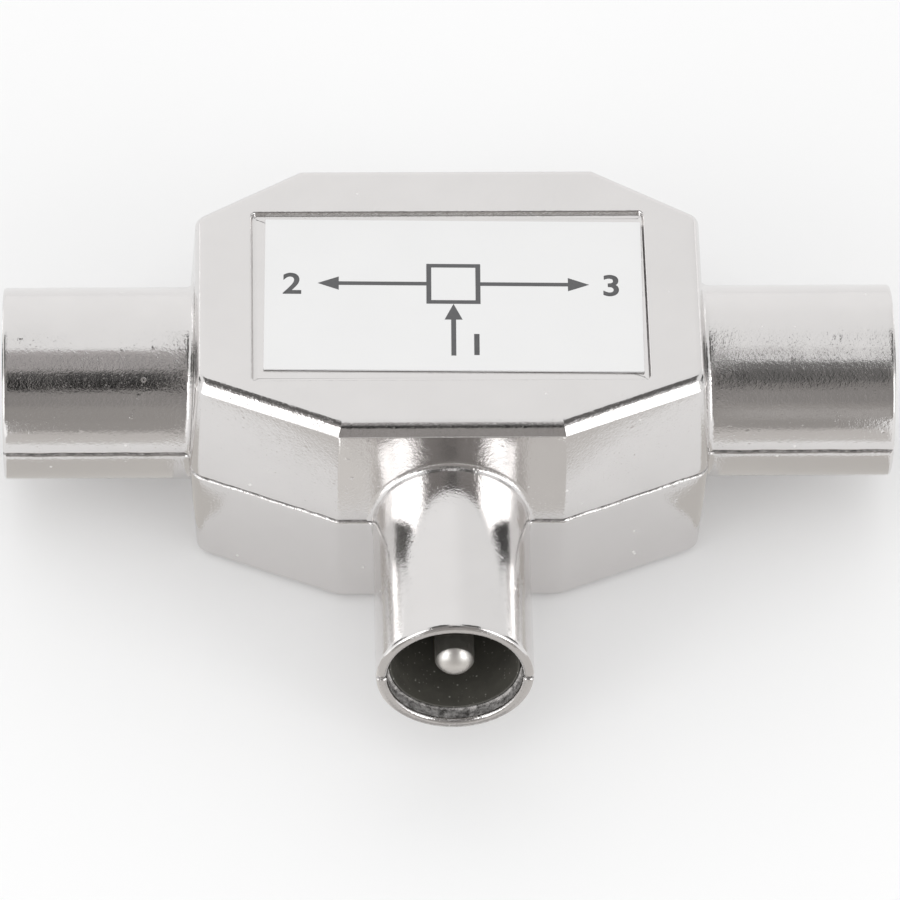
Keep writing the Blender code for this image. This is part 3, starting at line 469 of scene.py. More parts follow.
def half_tube(direction, mouth, tube, bore, wall, step, rim_round, bore_round, up):
    """Half of a port's tube, from its collar inside the case to the rounded rim of its mouth.

    Outside, the radius follows the fillet R + f - sqrt(f^2 - (f - s)^2) at s from the wall, which
    leans by the draft, then stays at R, and at the mouth turns in as the rim's quarter circle.
    The bore narrows by the step at the seat's depth.
    """
    radius, hole = tube / 2, bore / 2
    turn = np.linspace(0, np.pi / 2, 8)
    root = np.stack([wall + ROOT_ROUND * (1 - np.cos(turn)), radius + ROOT_ROUND * (1 - np.sin(turn))], -1)
    seat = mouth - SEAT_DEPTH
    stops = np.concatenate([np.linspace(wall + 1.5 * ROOT_ROUND, seat - 0.04 * MM, 16),
                            [seat, mouth - 2 * rim_round]])
    middle = np.stack([stops, np.full(len(stops), radius)], -1)
    rim = np.stack([mouth - rim_round * (1 - np.sin(turn)), radius - rim_round * (1 - np.cos(turn))], -1)
    inside = wall - WALL
    collar = [(inside - COLLAR, hole + COLLAR_WALL), (inside + 0.3 * MM, hole + COLLAR_WALL),
              (wall - 0.5 * MM, radius + ROOT_ROUND)]
    profile = np.concatenate([collar, root, middle, rim])
    station, outer = profile[:, 0], profile[:, 1]
    entry = np.clip(station - (mouth - bore_round), 0, bore_round)
    inner = hole + bore_round - np.sqrt(bore_round ** 2 - entry ** 2) - step * (station < seat - 0.02 * MM)
    worn = np.clip(radius - outer, 0, rim_round) * (station > mouth - rim_round)
    loops = sector_loops(outer, inner, HALF_GAP + worn * 0.4, np.full(len(outer), LIP_ROUND), np.pi)
    leaning = (station < wall + ROOT_ROUND * 1.01)[:, None]
    stations = station[:, None] - leaning * DRAFT * loops[..., 1]
    in_bore = np.sqrt((loops ** 2).sum(-1)) < (outer + inner)[:, None] / 2
    at_root, at_face = leaning, (station > mouth - 0.02 * MM)[:, None]
    at_lip = in_bore & (station > mouth - bore_round - 0.02 * MM)[:, None]
    near_root = (0.6 * np.clip(1 - (station - wall) / WORN_REACH, 0, 1))[:, None]
    # The bore's rawness of one also darkens it into blots in the material: painted shade for the dark that
    # the bore reflects.
    raw = np.select([at_lip, in_bore, at_root, at_face], [0.5, 1.0, 0.4, 0.5], near_root)
    return with_rawness(along(direction, (0, 0, up), stations, loops), raw)


POST = 1.5 * MM                 # radii of the posts, their pegs and the holes for them
PEG = 0.8 * MM
PEG_HOLE = 0.85 * MM
PEG_LENGTH = 2.6 * MM
POST_PLACES = [(x * MM, y * MM) for x in (-8.8, 8.8) for y in (-7.7, 7.8)]


def post_rows(place, up):
    """A post under the flat face: circles of radius r at heights z, ending in its peg or in a blind hole."""
    x, y = place
    end = PEG_LENGTH if up > 0 else -PEG_LENGTH - 0.3 * MM
    neck = PEG if up > 0 else PEG_HOLE
    profile = np.array([(AXIS - ROOF, POST), (HALF_GAP + 0.2 * MM, POST), (HALF_GAP, POST - 0.2 * MM),
                        (HALF_GAP, neck + 0.1 * MM), (HALF_GAP - 0.1 * MM, neck), (-end, neck)])
    t = np.linspace(0, 2 * np.pi, 32, endpoint=False)
    circle = np.stack([np.cos(t), np.sin(t), 0 * t], -1)
    heights = AXIS + up * profile[:, :1, None]
    rows = circle * profile[:, 1:, None] + np.array([x, y, 0]) + heights * np.array([0, 0, 1])
    return with_rawness(rows, 1.0)


def wall_insets(profile):
    """Insets of the eight walls for each row: the sides take only their share of what the bevel adds."""
    inset, height = profile[:, :1], profile[:, 1:]
    bevel = np.clip(inset - height * DRAFT, 0, None) * (height > 0.9 * FLANK) * (inset > 0.02 * MM)
    share = np.array([1, 1, SIDE_SHARE, 1, 1, 1, SIDE_SHARE, 1])
    return inset - bevel * (1 - share)


def wall_rawness(walls):
    """Rawness of the walls: along the bevel by the depth under the flat face, and round the tubes' roots.

    There it falls evenly to nothing over the worn reach, by the distance from the tube's side. The
    wall above the plug is rawest in its middle.
    """
    depth = HEIGHT - walls[..., 2]
    own = np.interp(depth / MM, [0, 0.02, 0.3, 0.55, 0.72, 1.1], [0, 0.45, 0.4, 0.1, 0.25, 0])
    own *= np.where(walls[..., 1] < -FRONT_WALL + 1.2 * MM, 0.3, 1.0)
    for direction, _, tube, _, wall, *_ in PORTS:
        from_axes = walls - np.array([0, 0, AXIS])
        station = from_axes @ np.array(direction, float)
        radial = np.sqrt((from_axes ** 2).sum(-1) - station ** 2)
        near = 0.07 * np.clip(1 - (radial - tube / 2) / WORN_REACH, 0, 1)
        own = np.maximum(own, near * (abs(station - wall) < 0.6 * MM))
    above_plug = (walls[..., 1] < -FRONT_WALL + 0.6 * MM) & (depth < HEIGHT / 2)
    return np.maximum(own, 0.5 * above_plug * np.clip(1 - abs(walls[..., 0]) / (2.8 * MM), 0, 1))


def casting_stacks(up, face):
    """Skins of one casting: its walls, joined to the rows of the flat face if given, its tubes and posts."""
    profile = case_profile()
    loops = plan_loops(wall_corners, wall_insets(profile), CORNER_RADII)
    walls = np.concatenate([at_height(loops, AXIS + profile[:, 1]), face], axis=0)
    own = wall_rawness(walls)
    if up < 0:
        walls[..., 2] = HEIGHT - walls[..., 2]
    walls = with_rawness(walls, own)
    tubes = [uneven(half_tube(*port, up)) for port in PORTS]
    return [uneven(walls)] + tubes + [post_rows(place, up) for place in POST_PLACES]


plain_face = at_height(plan_loops(wall_corners, [HEAD + 3 * MM], CORNER_RADII), [HEIGHT])
lower_casting = skin("lower_casting", casting_stacks(-1, plain_face), nickel)
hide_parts("lower_shell")


# Circuit board and the parts on it
# Paper laminate with two ferrite cores wound in enamelled copper, chip capacitors and a resistor, all
# soldered down. A bent strip of bronze earths it. None of it shows while the case is shut.
def grained(name, light, dark, rough, metal, scale, height, sheen=0.0):
    """Material whose colour runs between two tones by a noise, and whose bump follows the same noise."""
    material, tree, shader, place = start_material(name)
    grain = noise(tree, place, scale, 4.0, 0.6)
    shader.inputs["Metallic"].default_value = metal
    shader.inputs["Coat Weight"].default_value = sheen
    give_surface(tree, shader, two_tones(tree, grain, light, dark),
                 math_node(tree, "MULTIPLY_ADD", grain, 0.2, rough - 0.1), grain, height)
    return material


CIRCUIT = {
    grained("board_laminate", (0.50, 0.33, 0.14), (0.34, 0.20, 0.07), 0.55, 0.0, 1600.0, 1.5e-5):
        ["circuit_board"],
    grained("ferrite", (0.11, 0.11, 0.12), (0.05, 0.05, 0.055), 0.6, 0.0, 4200.0, 2e-5):
        ["matching_core", "splitter_core"],
    grained("enamelled_copper", (0.62, 0.20, 0.07), (0.45, 0.12, 0.04), 0.3, 0.7, 900.0, 3e-6, 0.6):
        ["matching_winding", "splitter_winding"],
    grained("resistor_coat", (0.74, 0.64, 0.45), (0.60, 0.50, 0.34), 0.45, 0.0, 1300.0, 1e-5, 0.3):
        ["balance_resistor"],
    grained("ceramic_body", (0.68, 0.56, 0.38), (0.54, 0.43, 0.28), 0.4, 0.0, 3000.0, 4e-6):
        ["input_capacitor", "left_output_capacitor", "right_output_capacitor"],
    grained("solder", (0.72, 0.72, 0.73), (0.52, 0.52, 0.54), 0.3, 1.0, 1100.0, 2.5e-5):
        ["input_solder", "left_output_solder", "right_output_solder"],
    grained("spring_bronze", (0.78, 0.57, 0.29), (0.62, 0.43, 0.20), 0.3, 1.0, 1500.0, 4e-6):
        ["earth_spring"]}
for finish, names in CIRCUIT.items():
    for name in names:
        for place in NODES[name].material_slots:
            place.material = finish


# Plug: pin and liner
# The pin is turned brass, nickel plated, with a low dome. A thin black moulding lines the bore behind
# a small step in the casting, and its base holds the pin.
def turned_rows(direction, profile, points=96):
    """Rows of a turned piece: round its axis, a circle of radius r at each station s of the profile."""
    profile = np.array(profile, float)
    t = np.linspace(0, 2 * np.pi, points, endpoint=False)
    circles = profile[:, 1, None, None] * np.stack([np.cos(t), np.sin(t)], -1)
    return along(direction, (0, 0, 1), np.broadcast_to(profile[:, :1], circles.shape[:2]), circles)


def turned_nickel(name, axis):
    """Nickel plating over turned brass: fine rings across its axis and a few soft scuffs."""
    material, tree, shader, place = start_material(name)
    parts = add(tree, "ShaderNodeSeparateXYZ", {"Vector": place})
    rings = add(tree, "ShaderNodeTexNoise", {"W": parts.outputs[axis], "Scale": 14000.0, "Detail": 2.0},
                noise_dimensions="1D")
    scuffs = noise(tree, place, 1500.0, 4.0, 0.65)
    height = math_node(tree, "MULTIPLY_ADD", scuffs, 4.0, rings.outputs["Fac"])
    shader.inputs["Metallic"].default_value = 1.0
    give_surface(tree, shader, two_tones(tree, scuffs, (0.92, 0.90, 0.87), (0.78, 0.76, 0.73)),
                 math_node(tree, "MULTIPLY_ADD", scuffs, 0.16, 0.31), height, 1.2e-6)
    return material


def moulded_black():
    """Black moulding: warm black, dull in patches and slightly uneven, with pale dust."""
    material, tree, shader, place = start_material("moulded_black")
    cloud = noise(tree, place, 700.0, 4.0, 0.65)
    tone = two_tones(tree, cloud, (0.125, 0.120, 0.102), (0.050, 0.048, 0.041))
    dust = add(tree, "ShaderNodeGroup", {"Position": place, "Scale": 4300.0, "Size": 0.25, "Share": 0.45},
               node_tree=scattered_specks)
    shown = math_node(tree, "MULTIPLY", dust.outputs["Mask"], 1.4, clamp=True)
    give_surface(tree, shader, two_tones(tree, shown, tone, (0.42, 0.41, 0.38)),
                 math_node(tree, "MULTIPLY_ADD", cloud, 0.3, 0.38), cloud, 1.4e-5)
    return material


PIN_TIP = PLUG_MOUTH - 0.72 * MM
PIN_RADIUS = 1.18 * MM
PIN_DOME = 0.74 * MM
PIN_HEAD_FRONT = 7.5 * MM       # head behind the liner, measured from the sockets' axis
PIN_HEAD_BACK = 7.05 * MM
PIN_HEAD_RADIUS = 1.5 * MM
TAIL_RADIUS = 0.6 * MM
LINER_FRONT = PLUG_MOUTH - SEAT_DEPTH - 0.06 * MM
LINER_RADIUS = 3.93 * MM
LINER_WALL = 0.12 * MM
LINER_BASE = LINER_FRONT - 8.0 * MM
LINER_BACK = 7.55 * MM
FLANGE_BACK = 8.2 * MM          # the liner's flange, held by the castings
FLANGE_FRONT = 9.2 * MM
FLANGE_RADIUS = 4.65 * MM
PIN_HOLE = PIN_RADIUS + 0.03 * MM
LINER_JOIN = (LINER_BACK, 2.5 * MM)     # where the liner's closed profile starts and ends
black = moulded_black()

ball = (PIN_RADIUS ** 2 + PIN_DOME ** 2) / (2 * PIN_DOME)
swing = np.linspace(0.02, 1, 16) * math.asin(PIN_RADIUS / ball)
dome = np.stack([PIN_TIP - ball * (1 - np.cos(swing)), ball * np.sin(swing)], -1)
stem = rounded_line([dome[-1], (PIN_HEAD_FRONT, PIN_RADIUS), (PIN_HEAD_FRONT, PIN_HEAD_RADIUS),
                     (PIN_HEAD_BACK, PIN_HEAD_RADIUS), (PIN_HEAD_BACK, TAIL_RADIUS),
                     (-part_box("plug_pin")[1].y, TAIL_RADIUS)],
                    np.array([0.03, 0.05, 0.05, 0.03]) * MM, 3)
pin = skin("plug_contact_pin", [turned_rows((0, -1, 0), np.concatenate([dome, stem[1:]]))],
           turned_nickel("turned_nickel_pin", "Y"))
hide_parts("plug_pin")

cup = rounded_line([LINER_JOIN, (LINER_BACK, LINER_RADIUS), (FLANGE_BACK, LINER_RADIUS),
                    (FLANGE_BACK, FLANGE_RADIUS), (FLANGE_FRONT, FLANGE_RADIUS), (FLANGE_FRONT, LINER_RADIUS),
                    (LINER_FRONT, LINER_RADIUS), (LINER_FRONT, LINER_RADIUS - LINER_WALL),
                    (LINER_BASE, LINER_RADIUS - LINER_WALL), (LINER_BASE, PIN_HOLE), (LINER_BACK, PIN_HOLE),
                    LINER_JOIN],
                   np.array([0.2, 0.02, 0.1, 0.1, 0.02, 0.06, 0.06, 0.3, 0.03, 0.03]) * MM, 3)
liner = skin("plug_liner", [turned_rows((0, -1, 0), cup)], black)
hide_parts("plug_insulator")


# Sockets: insulators and contacts
# In each socket a black moulded disc with a hub holds a nickel plated brass tube. The tube is slotted
# into four springy fingers, which lean in a little towards their tips.
DISC_FRONT = SOCKET_MOUTH - 9.6 * MM
DISC_BACK = 12.05 * MM
DISC_RADIUS = 4.75 * MM
DISC_JOIN = (DISC_BACK, 3 * MM)         # where the disc's closed profile starts and ends
RIB_BACK = 12.7 * MM            # the rib round the disc, held by the castings
RIB_FRONT = 13.7 * MM
RIB_RADIUS = 5.4 * MM
HUB_RADIUS = 2.9 * MM
HUB_FRONT = DISC_FRONT + 1.2 * MM
STEM_RADIUS = 1.3 * MM
STEM_HOLE = STEM_RADIUS + 0.03 * MM
CONTACT_TAIL = 9.3 * MM         # end of the contact's solder tail
CONTACT_HEAD_BACK = 11.55 * MM
CONTACT_HEAD_FRONT = 12.0 * MM
CONTACT_HEAD_RADIUS = 1.65 * MM
CONTACT_RADIUS = 1.9 * MM
CONTACT_BORE = 1.2 * MM
CONTACT_TIP = SOCKET_MOUTH - 1.0 * MM
SLOT_START = CONTACT_TIP - 5.2 * MM
BORE_START = CONTACT_TIP - 7.0 * MM
HALF_SLOT = 0.175 * MM
FINGER_LEAN = 0.09 * MM
TIP_ROUND = 0.22 * MM
turned_metal = turned_nickel("turned_nickel_contact", "X")

disc = rounded_line([DISC_JOIN, (DISC_BACK, DISC_RADIUS), (RIB_BACK, DISC_RADIUS), (RIB_BACK, RIB_RADIUS),
                     (RIB_FRONT, RIB_RADIUS), (RIB_FRONT, DISC_RADIUS), (DISC_FRONT, DISC_RADIUS),
                     (DISC_FRONT, HUB_RADIUS), (HUB_FRONT, HUB_RADIUS), (HUB_FRONT, STEM_HOLE),
                     (DISC_BACK, STEM_HOLE), DISC_JOIN],
                    np.array([0.2, 0.02, 0.1, 0.1, 0.02, 0.15, 0.2, 0.15, 0.1, 0.03]) * MM, 4)
shoulder = HUB_FRONT + 0.03 * MM
barrel = rounded_line([(CONTACT_TAIL, TAIL_RADIUS), (CONTACT_HEAD_BACK, TAIL_RADIUS),
                       (CONTACT_HEAD_BACK, CONTACT_HEAD_RADIUS), (CONTACT_HEAD_FRONT, CONTACT_HEAD_RADIUS),
                       (CONTACT_HEAD_FRONT, STEM_RADIUS), (shoulder, STEM_RADIUS),
                       (shoulder, CONTACT_RADIUS), (SLOT_START, CONTACT_RADIUS), (SLOT_START, CONTACT_BORE),
                       (BORE_START, CONTACT_BORE)],
                      np.array([0.03, 0.05, 0.05, 0.03, 0.03, 0.1, 0.02, 0.02]) * MM, 4)
along_finger = np.concatenate([np.linspace(0, 1, 14) * (CONTACT_TIP - TIP_ROUND - SLOT_START) + SLOT_START,
                               CONTACT_TIP - TIP_ROUND * (1 - np.sin(np.linspace(0.2, np.pi / 2, 7)))])
lean = FINGER_LEAN * ((along_finger - SLOT_START) / (CONTACT_TIP - SLOT_START)) ** 2
blunt = np.clip(along_finger - (CONTACT_TIP - TIP_ROUND), 0, TIP_ROUND)
nose = TIP_ROUND - np.sqrt(TIP_ROUND ** 2 - blunt ** 2)
finger = sector_loops(CONTACT_RADIUS - lean - nose, CONTACT_BORE - lean + nose,
                      HALF_SLOT + 0.3 * nose - 0.5 * lean, np.full(len(nose), 0.05 * MM), np.pi / 2, 12, 3)
for side, word in ((-1, "left"), (1, "right")):
    ahead = (side, 0, 0)
    disc_piece = skin(f"{word}_socket_disc", [turned_rows(ahead, disc)], black)
    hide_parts(f"{word}_socket_insulator")
    quarter = np.array([[0.0, 1.0], [-1.0, 0.0]])
    stations = np.broadcast_to(along_finger[:, None], finger.shape[:2])
    fingers = [along(ahead, (0, 0, 1), stations, finger @ np.linalg.matrix_power(quarter, k))
               for k in range(4)]
    contact = skin(f"{word}_socket_fingers", [turned_rows(ahead, barrel, 64)] + fingers,
                   turned_metal)
    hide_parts(f"{word}_socket_contact")


# Upper casting
# The other half, pressed on by its four pegs. Its flat face has a shallow pocket for the label,
# with a rounded brim and slightly sloping sides.
POCKET_DEPTH = 0.3 * MM
POCKET_HALF_WIDTH = 12.1 * MM
POCKET_HALF_LENGTH = 6.95 * MM
POCKET_CORNER = 0.3 * MM
POCKET_SLOPE = math.tan(math.radians(22))
BRIM_ROUND = 0.14 * MM

cut = 2.02 * POCKET_CORNER * math.tan(math.pi / 8)      # leaves room for a bend at each end of the cut
half_x, half_y = POCKET_HALF_WIDTH, POCKET_HALF_LENGTH
pocket_corners = np.array([[cut - half_x, -half_y], [half_x - cut, -half_y],
                           [half_x, cut - half_y], [half_x, half_y - cut],
                           [half_x - cut, half_y], [cut - half_x, half_y],
                           [-half_x, half_y - cut], [-half_x, cut - half_y]])
pocket_line = [(-0.15 * MM, HEIGHT), (0, HEIGHT), (POCKET_DEPTH * POCKET_SLOPE, HEIGHT - POCKET_DEPTH),
               (0.4 * MM, HEIGHT - POCKET_DEPTH)]
pocket_profile = rounded_line(pocket_line, [BRIM_ROUND, 0.08 * MM], 5)
pocket_loops = plan_loops(pocket_corners, pocket_profile[:, 0], np.full(8, POCKET_CORNER))
rim_rawness = np.where(pocket_profile[:, 1] < HEIGHT - 1e-7, 0.5, 0.0) * (pocket_profile[:, 0] < 0.3 * MM)
pocket_rows = with_rawness(at_height(pocket_loops, pocket_profile[:, 1]), rim_rawness[:, None])
no_rows = pocket_rows[:0, :, :3]
upper_casting = skin("upper_casting", casting_stacks(1, no_rows) + [pocket_rows],
                     nickel, flat_height=HEIGHT)
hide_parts("upper_shell")


# Label
# White vinyl, stuck in the pocket a little askew. Its print is a plain diagram in dark grey: from
# the plug, 1, through the splitter to the sockets, 2 and 3.
def vinyl():
    """Satin white vinyl, very slightly mottled, with a fine orange peel."""
    material, tree, shader, place = start_material("label_vinyl")
    cloud = noise(tree, place, 260.0, 4.0, 0.6)
    peel = noise(tree, place, 4200.0, 2.0)
    give_surface(tree, shader, two_tones(tree, cloud, (0.822, 0.820, 0.818), (0.792, 0.792, 0.790)),
                 math_node(tree, "MULTIPLY_ADD", cloud, 0.14, 0.40), peel, 2.5e-6)
    return material


def ink():
    """Dark grey screen print, slightly uneven in its density."""
    return grained("printing_ink", (0.115, 0.115, 0.118), (0.085, 0.085, 0.088), 0.5, 0.0, 5200.0, 1e-6)


LABEL_TILT = math.radians(-0.85)
LABEL_SHIFT = (0.26 * MM, 0.12 * MM)
HALF_LABEL = np.array([11.54, 6.18]) * MM
label_low, label_top = (corner.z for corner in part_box("face_label"))
tilt = np.array([[math.cos(LABEL_TILT), math.sin(LABEL_TILT)], [-math.sin(LABEL_TILT), math.cos(LABEL_TILT)]])
label_corners = np.array([[-1, -1], [1, -1], [1, 1], [-1, 1]]) * HALF_LABEL @ tilt + np.array(LABEL_SHIFT)
label_profile = np.array([(0, label_low), (0, label_top - 0.02 * MM), (0.02 * MM, label_top)])
label_loops = plan_loops(label_corners, label_profile[:, 0], np.full(4, 0.08 * MM), 3, 4)
label_sheet = skin("label_sheet", [at_height(label_loops, label_profile[:, 1])], vinyl())
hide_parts("face_label")

PRINT_LIFT = 0.004 * MM
LINE = 0.15 * MM                # half of a printed line's width
BOX = 1.5 * MM                  # half of the splitter's box, drawn at (0, BOX_Y)
BOX_Y = 0.9 * MM
OUT_REACH = 8.3 * MM
IN_REACH = 5.0 * MM
HEAD_LENGTH = 1.3 * MM
HEAD_HALF = 0.55 * MM
NUMBERS = [("1", 0.80, -4.9), ("2", -10.45, 0.03), ("3", 9.05, 0.03)]
NUMBER_SIZE = 2.4 * MM
NUMBER_BOLD = 0.045 * MM        # how far each number's outline is moved outwards


def arrow(start, tip):
    """Outline of an arrow: a line of even width up to the head, whose three points end at the tip."""
    start, tip = np.array(start, float), np.array(tip, float)
    d = unit(tip - start)
    n = np.array([-d[1], d[0]])
    neck = tip - HEAD_LENGTH * d
    return np.array([start - LINE * n, neck - LINE * n, neck - HEAD_HALF * n, tip, neck + HEAD_HALF * n,
                     neck + LINE * n, start + LINE * n])


def frame_outline(half, centre_y):
    """The box as two half frames, so that each is one closed outline of even width."""
    far, near = half + LINE, half - LINE
    right = np.array([[0, -far], [far, -far], [far, far], [0, far],
                      [0, near], [near, near], [near, -near], [0, -near]])
    left = (right * np.array([-1, 1]))[::-1]
    return [outline + np.array([0, centre_y]) for outline in (right, left)]


def number_mesh(text):
    """Mesh of a plain number in Blender's own typeface."""
    curve = bpy.data.curves.new("number", "FONT")
    curve.body, curve.size, curve.offset = text, NUMBER_SIZE, NUMBER_BOLD
    holder = bpy.data.objects.new("number", curve)
    mesh = bpy.data.meshes.new_from_object(holder)
    bpy.data.objects.remove(holder)
    return mesh


on_label = Matrix.Translation((*LABEL_SHIFT, label_top + PRINT_LIFT)) @ Matrix.Rotation(LABEL_TILT, 4, "Z")
shapes = frame_outline(BOX, BOX_Y)
shapes += [arrow((-BOX - LINE, BOX_Y), (-OUT_REACH, BOX_Y)), arrow((BOX + LINE, BOX_Y), (OUT_REACH, BOX_Y)),
           arrow((0, -IN_REACH), (0, BOX_Y - BOX - LINE))]
drawing = bmesh.new()
for shape in shapes:
    drawing.faces.new([drawing.verts.new((x, y, 0)) for x, y in shape.tolist()])
for text, x, y in NUMBERS:
    number = number_mesh(text)
    number.transform(Matrix.Translation((x * MM, y * MM, 0)))
    drawing.from_mesh(number)
drawing.transform(on_label)
bmesh.ops.recalc_face_normals(drawing, faces=drawing.faces)
for face in drawing.faces:
    if face.normal.z < 0:
        face.normal_flip()
print_mesh = bpy.data.meshes.new("label_print")
drawing.to_mesh(print_mesh)
drawing.free()
print_mesh.materials.append(ink())
label_print = bpy.data.objects.new("label_print", print_mesh)
bpy.context.scene.collection.objects.link(label_print)
thickness = label_print.modifiers.new("ink_thickness", "SOLIDIFY")
thickness.thickness = 0.003 * MM
thickness.offset = -1
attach(label_print, "root")


# Floor, light and camera
# A pale sheet under a white surround, with a tall soft panel at each front corner and a low strip at
# each back one. Grey, black and a few bright cards round the splitter are there for its metal to reflect.
def flat_material(name, colour, rough):
    """Plain dull material."""
    material, _, shader, _ = start_material(name)
    shader.inputs["Base Color"].default_value = (*colour, 1.0)
    shader.inputs["Roughness"].default_value = rough
    shader.inputs["Specular IOR Level"].default_value = 0.0
    return material


FLOOR = 3.0                     # half of its side
FLOOR_DROP = 0.02 * MM

floor_mesh = bpy.data.meshes.new("floor")
floor_mesh.from_pydata([(x * FLOOR, y * FLOOR, 0) for x, y in ((-1, -1), (1, -1), (1, 1), (-1, 1))], [],
                       [(0, 1, 2, 3)])
floor_mesh.materials.append(flat_material("pale_sheet", (0.935, 0.935, 0.935), 0.9))
floor = bpy.data.objects.new("floor", floor_mesh)
floor.location.z = -FLOOR_DROP
bpy.context.scene.collection.objects.link(floor)

world = bpy.data.worlds.new("surround")
world.use_nodes = True
sky = world.node_tree
looking = add(sky, "ShaderNodeTexCoord", {}).outputs["Generated"]
towards = add(sky, "ShaderNodeSeparateXYZ", {"Vector": looking})


def eased(axis, start, stop, first, last):
    """Value that goes smoothly from first to last as a direction's component goes from start to stop."""
    values = {"Value": towards.outputs[axis], "From Min": start, "From Max": stop, "To Min": first,
              "To Max": last}
    node = add(sky, "ShaderNodeMapRange", values, interpolation_type="SMOOTHSTEP")
    return node.outputs["Result"]


# Brighter towards the back, and dimmer on the right except straight behind
shade = math_node(sky, "MULTIPLY", eased("X", -0.1, 0.3, 0.0, 0.09), eased("Y", 0.72, 0.95, 1.0, 0.0))
sky.links.new(math_node(sky, "SUBTRACT", eased("Y", 0.2, 1.0, 0.98, 1.035), shade),
              sky.nodes["Background"].inputs["Color"])
bpy.context.scene.world = world


def seen_in_metal(name, points, faces, colour, one_sided=False):
    """Card of an even brightness that only reflections see, a one-sided one from its front alone."""
    mesh = bpy.data.meshes.new(name)
    mesh.from_pydata(points, [], faces)
    material = bpy.data.materials.new(name)
    material.use_nodes = True
    tree = material.node_tree
    tree.nodes.remove(tree.nodes["Principled BSDF"])
    glow = add(tree, "ShaderNodeEmission", {"Color": (*colour, 1.0), "Strength": 1.0})
    surface = tree.nodes["Material Output"].inputs["Surface"]
    if one_sided:
        behind = add(tree, "ShaderNodeNewGeometry", {}).outputs["Backfacing"]
        either = add(tree, "ShaderNodeMixShader", {"Fac": behind})
        tree.links.new(glow.outputs["Emission"], either.inputs[1])
        tree.links.new(add(tree, "ShaderNodeBsdfTransparent", {}).outputs["BSDF"], either.inputs[2])
        tree.links.new(either.outputs["Shader"], surface)
    else:
        tree.links.new(glow.outputs["Emission"], surface)
    mesh.materials.append(material)
    thing = bpy.data.objects.new(name, mesh)
    bpy.context.scene.collection.objects.link(thing)
    thing.visible_camera = False
    thing.visible_diffuse = False
    thing.visible_shadow = False


def card(name, radius, low, high, left, right, colour):
    """Curved card over the X axis, between two angles from the zenith towards -Y and two sideways ones.

    A point at angles a and s is radius (sin s, -cos s sin a, cos s cos a) from the axes' crossing.
    """
    rows, columns = 25, 13
    a, s = np.meshgrid(np.radians(np.linspace(low, high, rows)),
                       np.radians(np.linspace(left, right, columns)), indexing="ij")
    points = radius * np.stack([np.sin(s), -np.cos(s) * np.sin(a), np.cos(s) * np.cos(a)], -1)
    points[..., 2] += AXIS
    index = np.arange(rows * columns).reshape(rows, columns)
    faces = np.stack([index[:-1, :-1], index[1:, :-1], index[1:, 1:], index[:-1, 1:]], -1).reshape(-1, 4)
    seen_in_metal(name, points.reshape(-1, 3).tolist(), faces.tolist(), colour)


def sheet(name, low, high, colour):
    """Flat one-sided card between two corners in millimetres: it lies, and faces up, or it stands.

    It stands where both corners have the same y, and faces +Y where the first has the greater x.
    """
    (x0, y0, z0), (x1, y1, z1) = np.array([low, high]) * MM
    corners = [(x0, y0, z0), (x1, y0, z0), (x1, y1, z1), (x0, y1, z1)]
    seen_in_metal(name, corners, [(0, 1, 2, 3)], colour, one_sided=True)


card("overhead_card", 1.30, 2, 27, -32, 3.4, (0.475, 0.455, 0.45))
card("front_card", 1.30, 27, 70, -32, 32, (0.28, 0.268, 0.26))
card("low_card", 1.30, 70, 96, -26, 26, (0.345, 0.33, 0.315))
card("step_card", 1.28, 53, 88, -0.4, 3.2, (0.385, 0.37, 0.36))
card("edge_card", 1.20, 8, 30, -0.4, 3.2, (0.16, 0.16, 0.16))
card("left_shoulder_card", 1.28, -20, 24, -32, -8, (0.13, 0.127, 0.124))
card("right_shoulder_card", 1.28, -20, 24, 9, 32, (0.13, 0.127, 0.124))
card("upper_dark_card", 1.25, 29, 39, -4.6, 3.2, (0.045, 0.045, 0.045))
card("dark_card", 1.25, 39, 51, -4.6, 3.2, (0.006, 0.006, 0.006))
card("dim_card", 1.25, 19, 44, 3.4, 8.0, (0.15, 0.148, 0.145))
card("right_step_card", 1.28, 76, 90, 3.4, 8.0, (0.47, 0.455, 0.44))
card("left_card", 1.30, -95, 15, -88, -66, (0.13, 0.13, 0.125))
card("right_card", 1.30, -95, 15, 66, 88, (0.06, 0.06, 0.06))
# The sheets lying on the floor are darker than the floor and show only in the metal: painted shade of the
# floor round the splitter, with the shadows under the sockets' tubes and in front of the plug.
sheet("floor_card", (-30, -46, 0.3), (30, -28, 0.3), (0.63, 0.61, 0.59))
sheet("front_floor_card", (-15, -28, 0.3), (-4.5, -21, 0.3), (0.77, 0.75, 0.725))
sheet("mouth_card", (-4.5, -28, 0.3), (4, -25.2, 0.3), (0.42, 0.41, 0.40))
sheet("left_floor_card", (-30, -28, 0.3), (-15, -21, 0.3), (0.67, 0.65, 0.63))
sheet("right_floor_card", (4, -28, 0.3), (30, -20, 0.3), (0.66, 0.64, 0.62))
sheet("standing_card", (30, -46, 0.3), (-30, -46, 11), (0.37, 0.355, 0.34))
sheet("left_under_card", (-28, -11, 0.3), (-17, -3, 0.3), (0.62, 0.60, 0.575))
sheet("right_under_card", (17, -11, 0.3), (28, -3, 0.3), (0.61, 0.59, 0.565))
# The glow cards and the bright floor card are painted highlights: they glow, light nothing and show only in
# the metal.
sheet("left_glow_card", (-7.2, -19.5, 7.2), (-14, -19.5, 10.6), (2.0, 2.0, 2.0))
sheet("right_glow_card", (14, -19.5, 8.6), (7.2, -19.5, 10.6), (2.0, 2.0, 2.0))
sheet("bright_floor_card", (-85, -85, 0.3), (-30, -30, 0.3), (1.3, 1.3, 1.3))


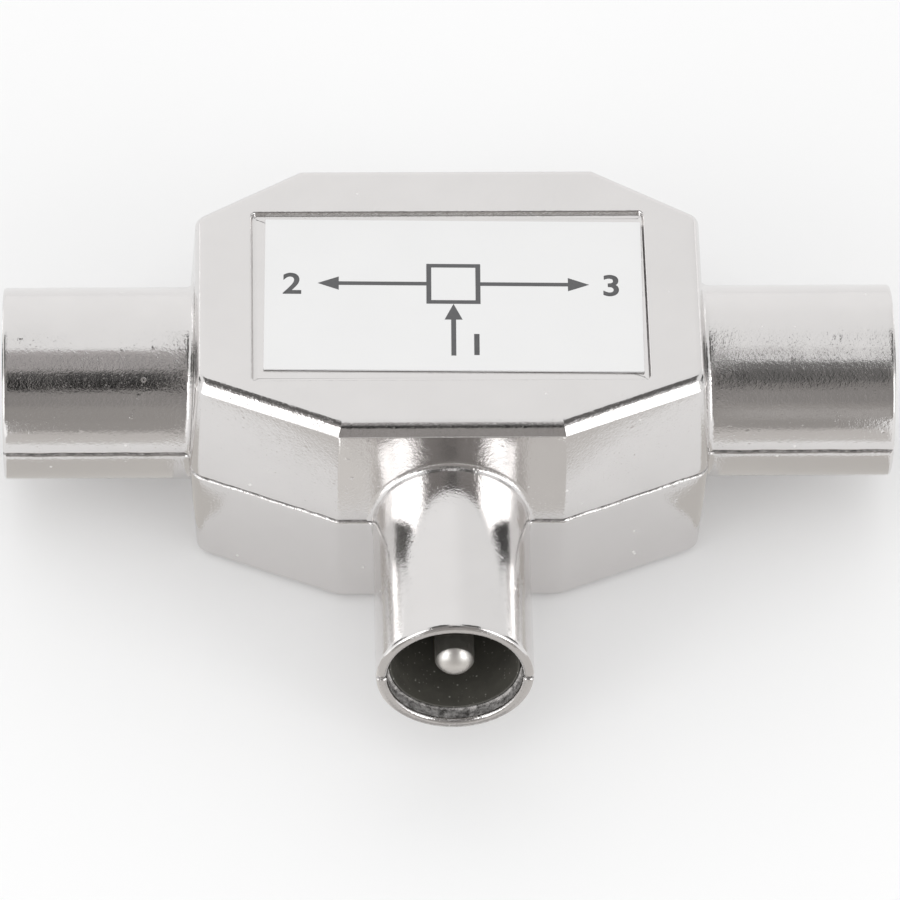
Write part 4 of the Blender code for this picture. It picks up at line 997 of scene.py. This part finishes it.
def panel(name, azimuth, elevation, distance, width, height, radiance):
    """Soft panel facing the splitter; its power is pi times its area times its radiance."""
    lamp = bpy.data.lights.new(name, "AREA")
    lamp.shape = "RECTANGLE"
    lamp.size, lamp.size_y = width, height
    lamp.energy = math.pi * width * height * radiance
    thing = bpy.data.objects.new(name, lamp)
    a, e = math.radians(azimuth), math.radians(elevation)
    away = Vector((math.sin(a) * math.cos(e), -math.cos(a) * math.cos(e), math.sin(e)))
    thing.location = away * distance
    thing.rotation_euler = away.to_track_quat("Z", "Y").to_euler()
    bpy.context.scene.collection.objects.link(thing)
    thing.visible_camera = False
    return thing


for side in (-1, 1):
    panel("front_panel", side * 49.5, 20, 0.95, 0.34, 0.74, 2.2)
    panel("back_strip", side * 130.5, 1, 1.0, 0.30, 0.16, 0.88 - 0.12 * side)

CAMERA_TARGET = Vector((0.06, -5.62, 7.95)) * MM
CAMERA_DISTANCE = 0.5
CAMERA_ELEVATION = math.radians(48.578)
CAMERA_AZIMUTH = math.radians(2.185)
CAMERA_ROLL = math.radians(1.385)

forward = Vector((math.sin(CAMERA_AZIMUTH) * math.cos(CAMERA_ELEVATION),
                  math.cos(CAMERA_AZIMUTH) * math.cos(CAMERA_ELEVATION), -math.sin(CAMERA_ELEVATION)))
right = Vector((math.cos(CAMERA_AZIMUTH), -math.sin(CAMERA_AZIMUTH), 0))
up = right.cross(forward)
rolled_right = right * math.cos(CAMERA_ROLL) + up * math.sin(CAMERA_ROLL)
rolled_up = up * math.cos(CAMERA_ROLL) - right * math.sin(CAMERA_ROLL)
lens = bpy.data.cameras.new("camera")
lens.lens = 326.45
lens.sensor_width = 36.0
lens.clip_start, lens.clip_end = 0.01, 20.0
camera = bpy.data.objects.new("camera", lens)
turn = Matrix((rolled_right, rolled_up, -forward)).transposed().to_4x4()
camera.matrix_world = Matrix.Translation(CAMERA_TARGET - forward * CAMERA_DISTANCE) @ turn
bpy.context.scene.collection.objects.link(camera)
bpy.context.scene.camera = camera
bpy.context.scene.view_settings.view_transform = "Standard"
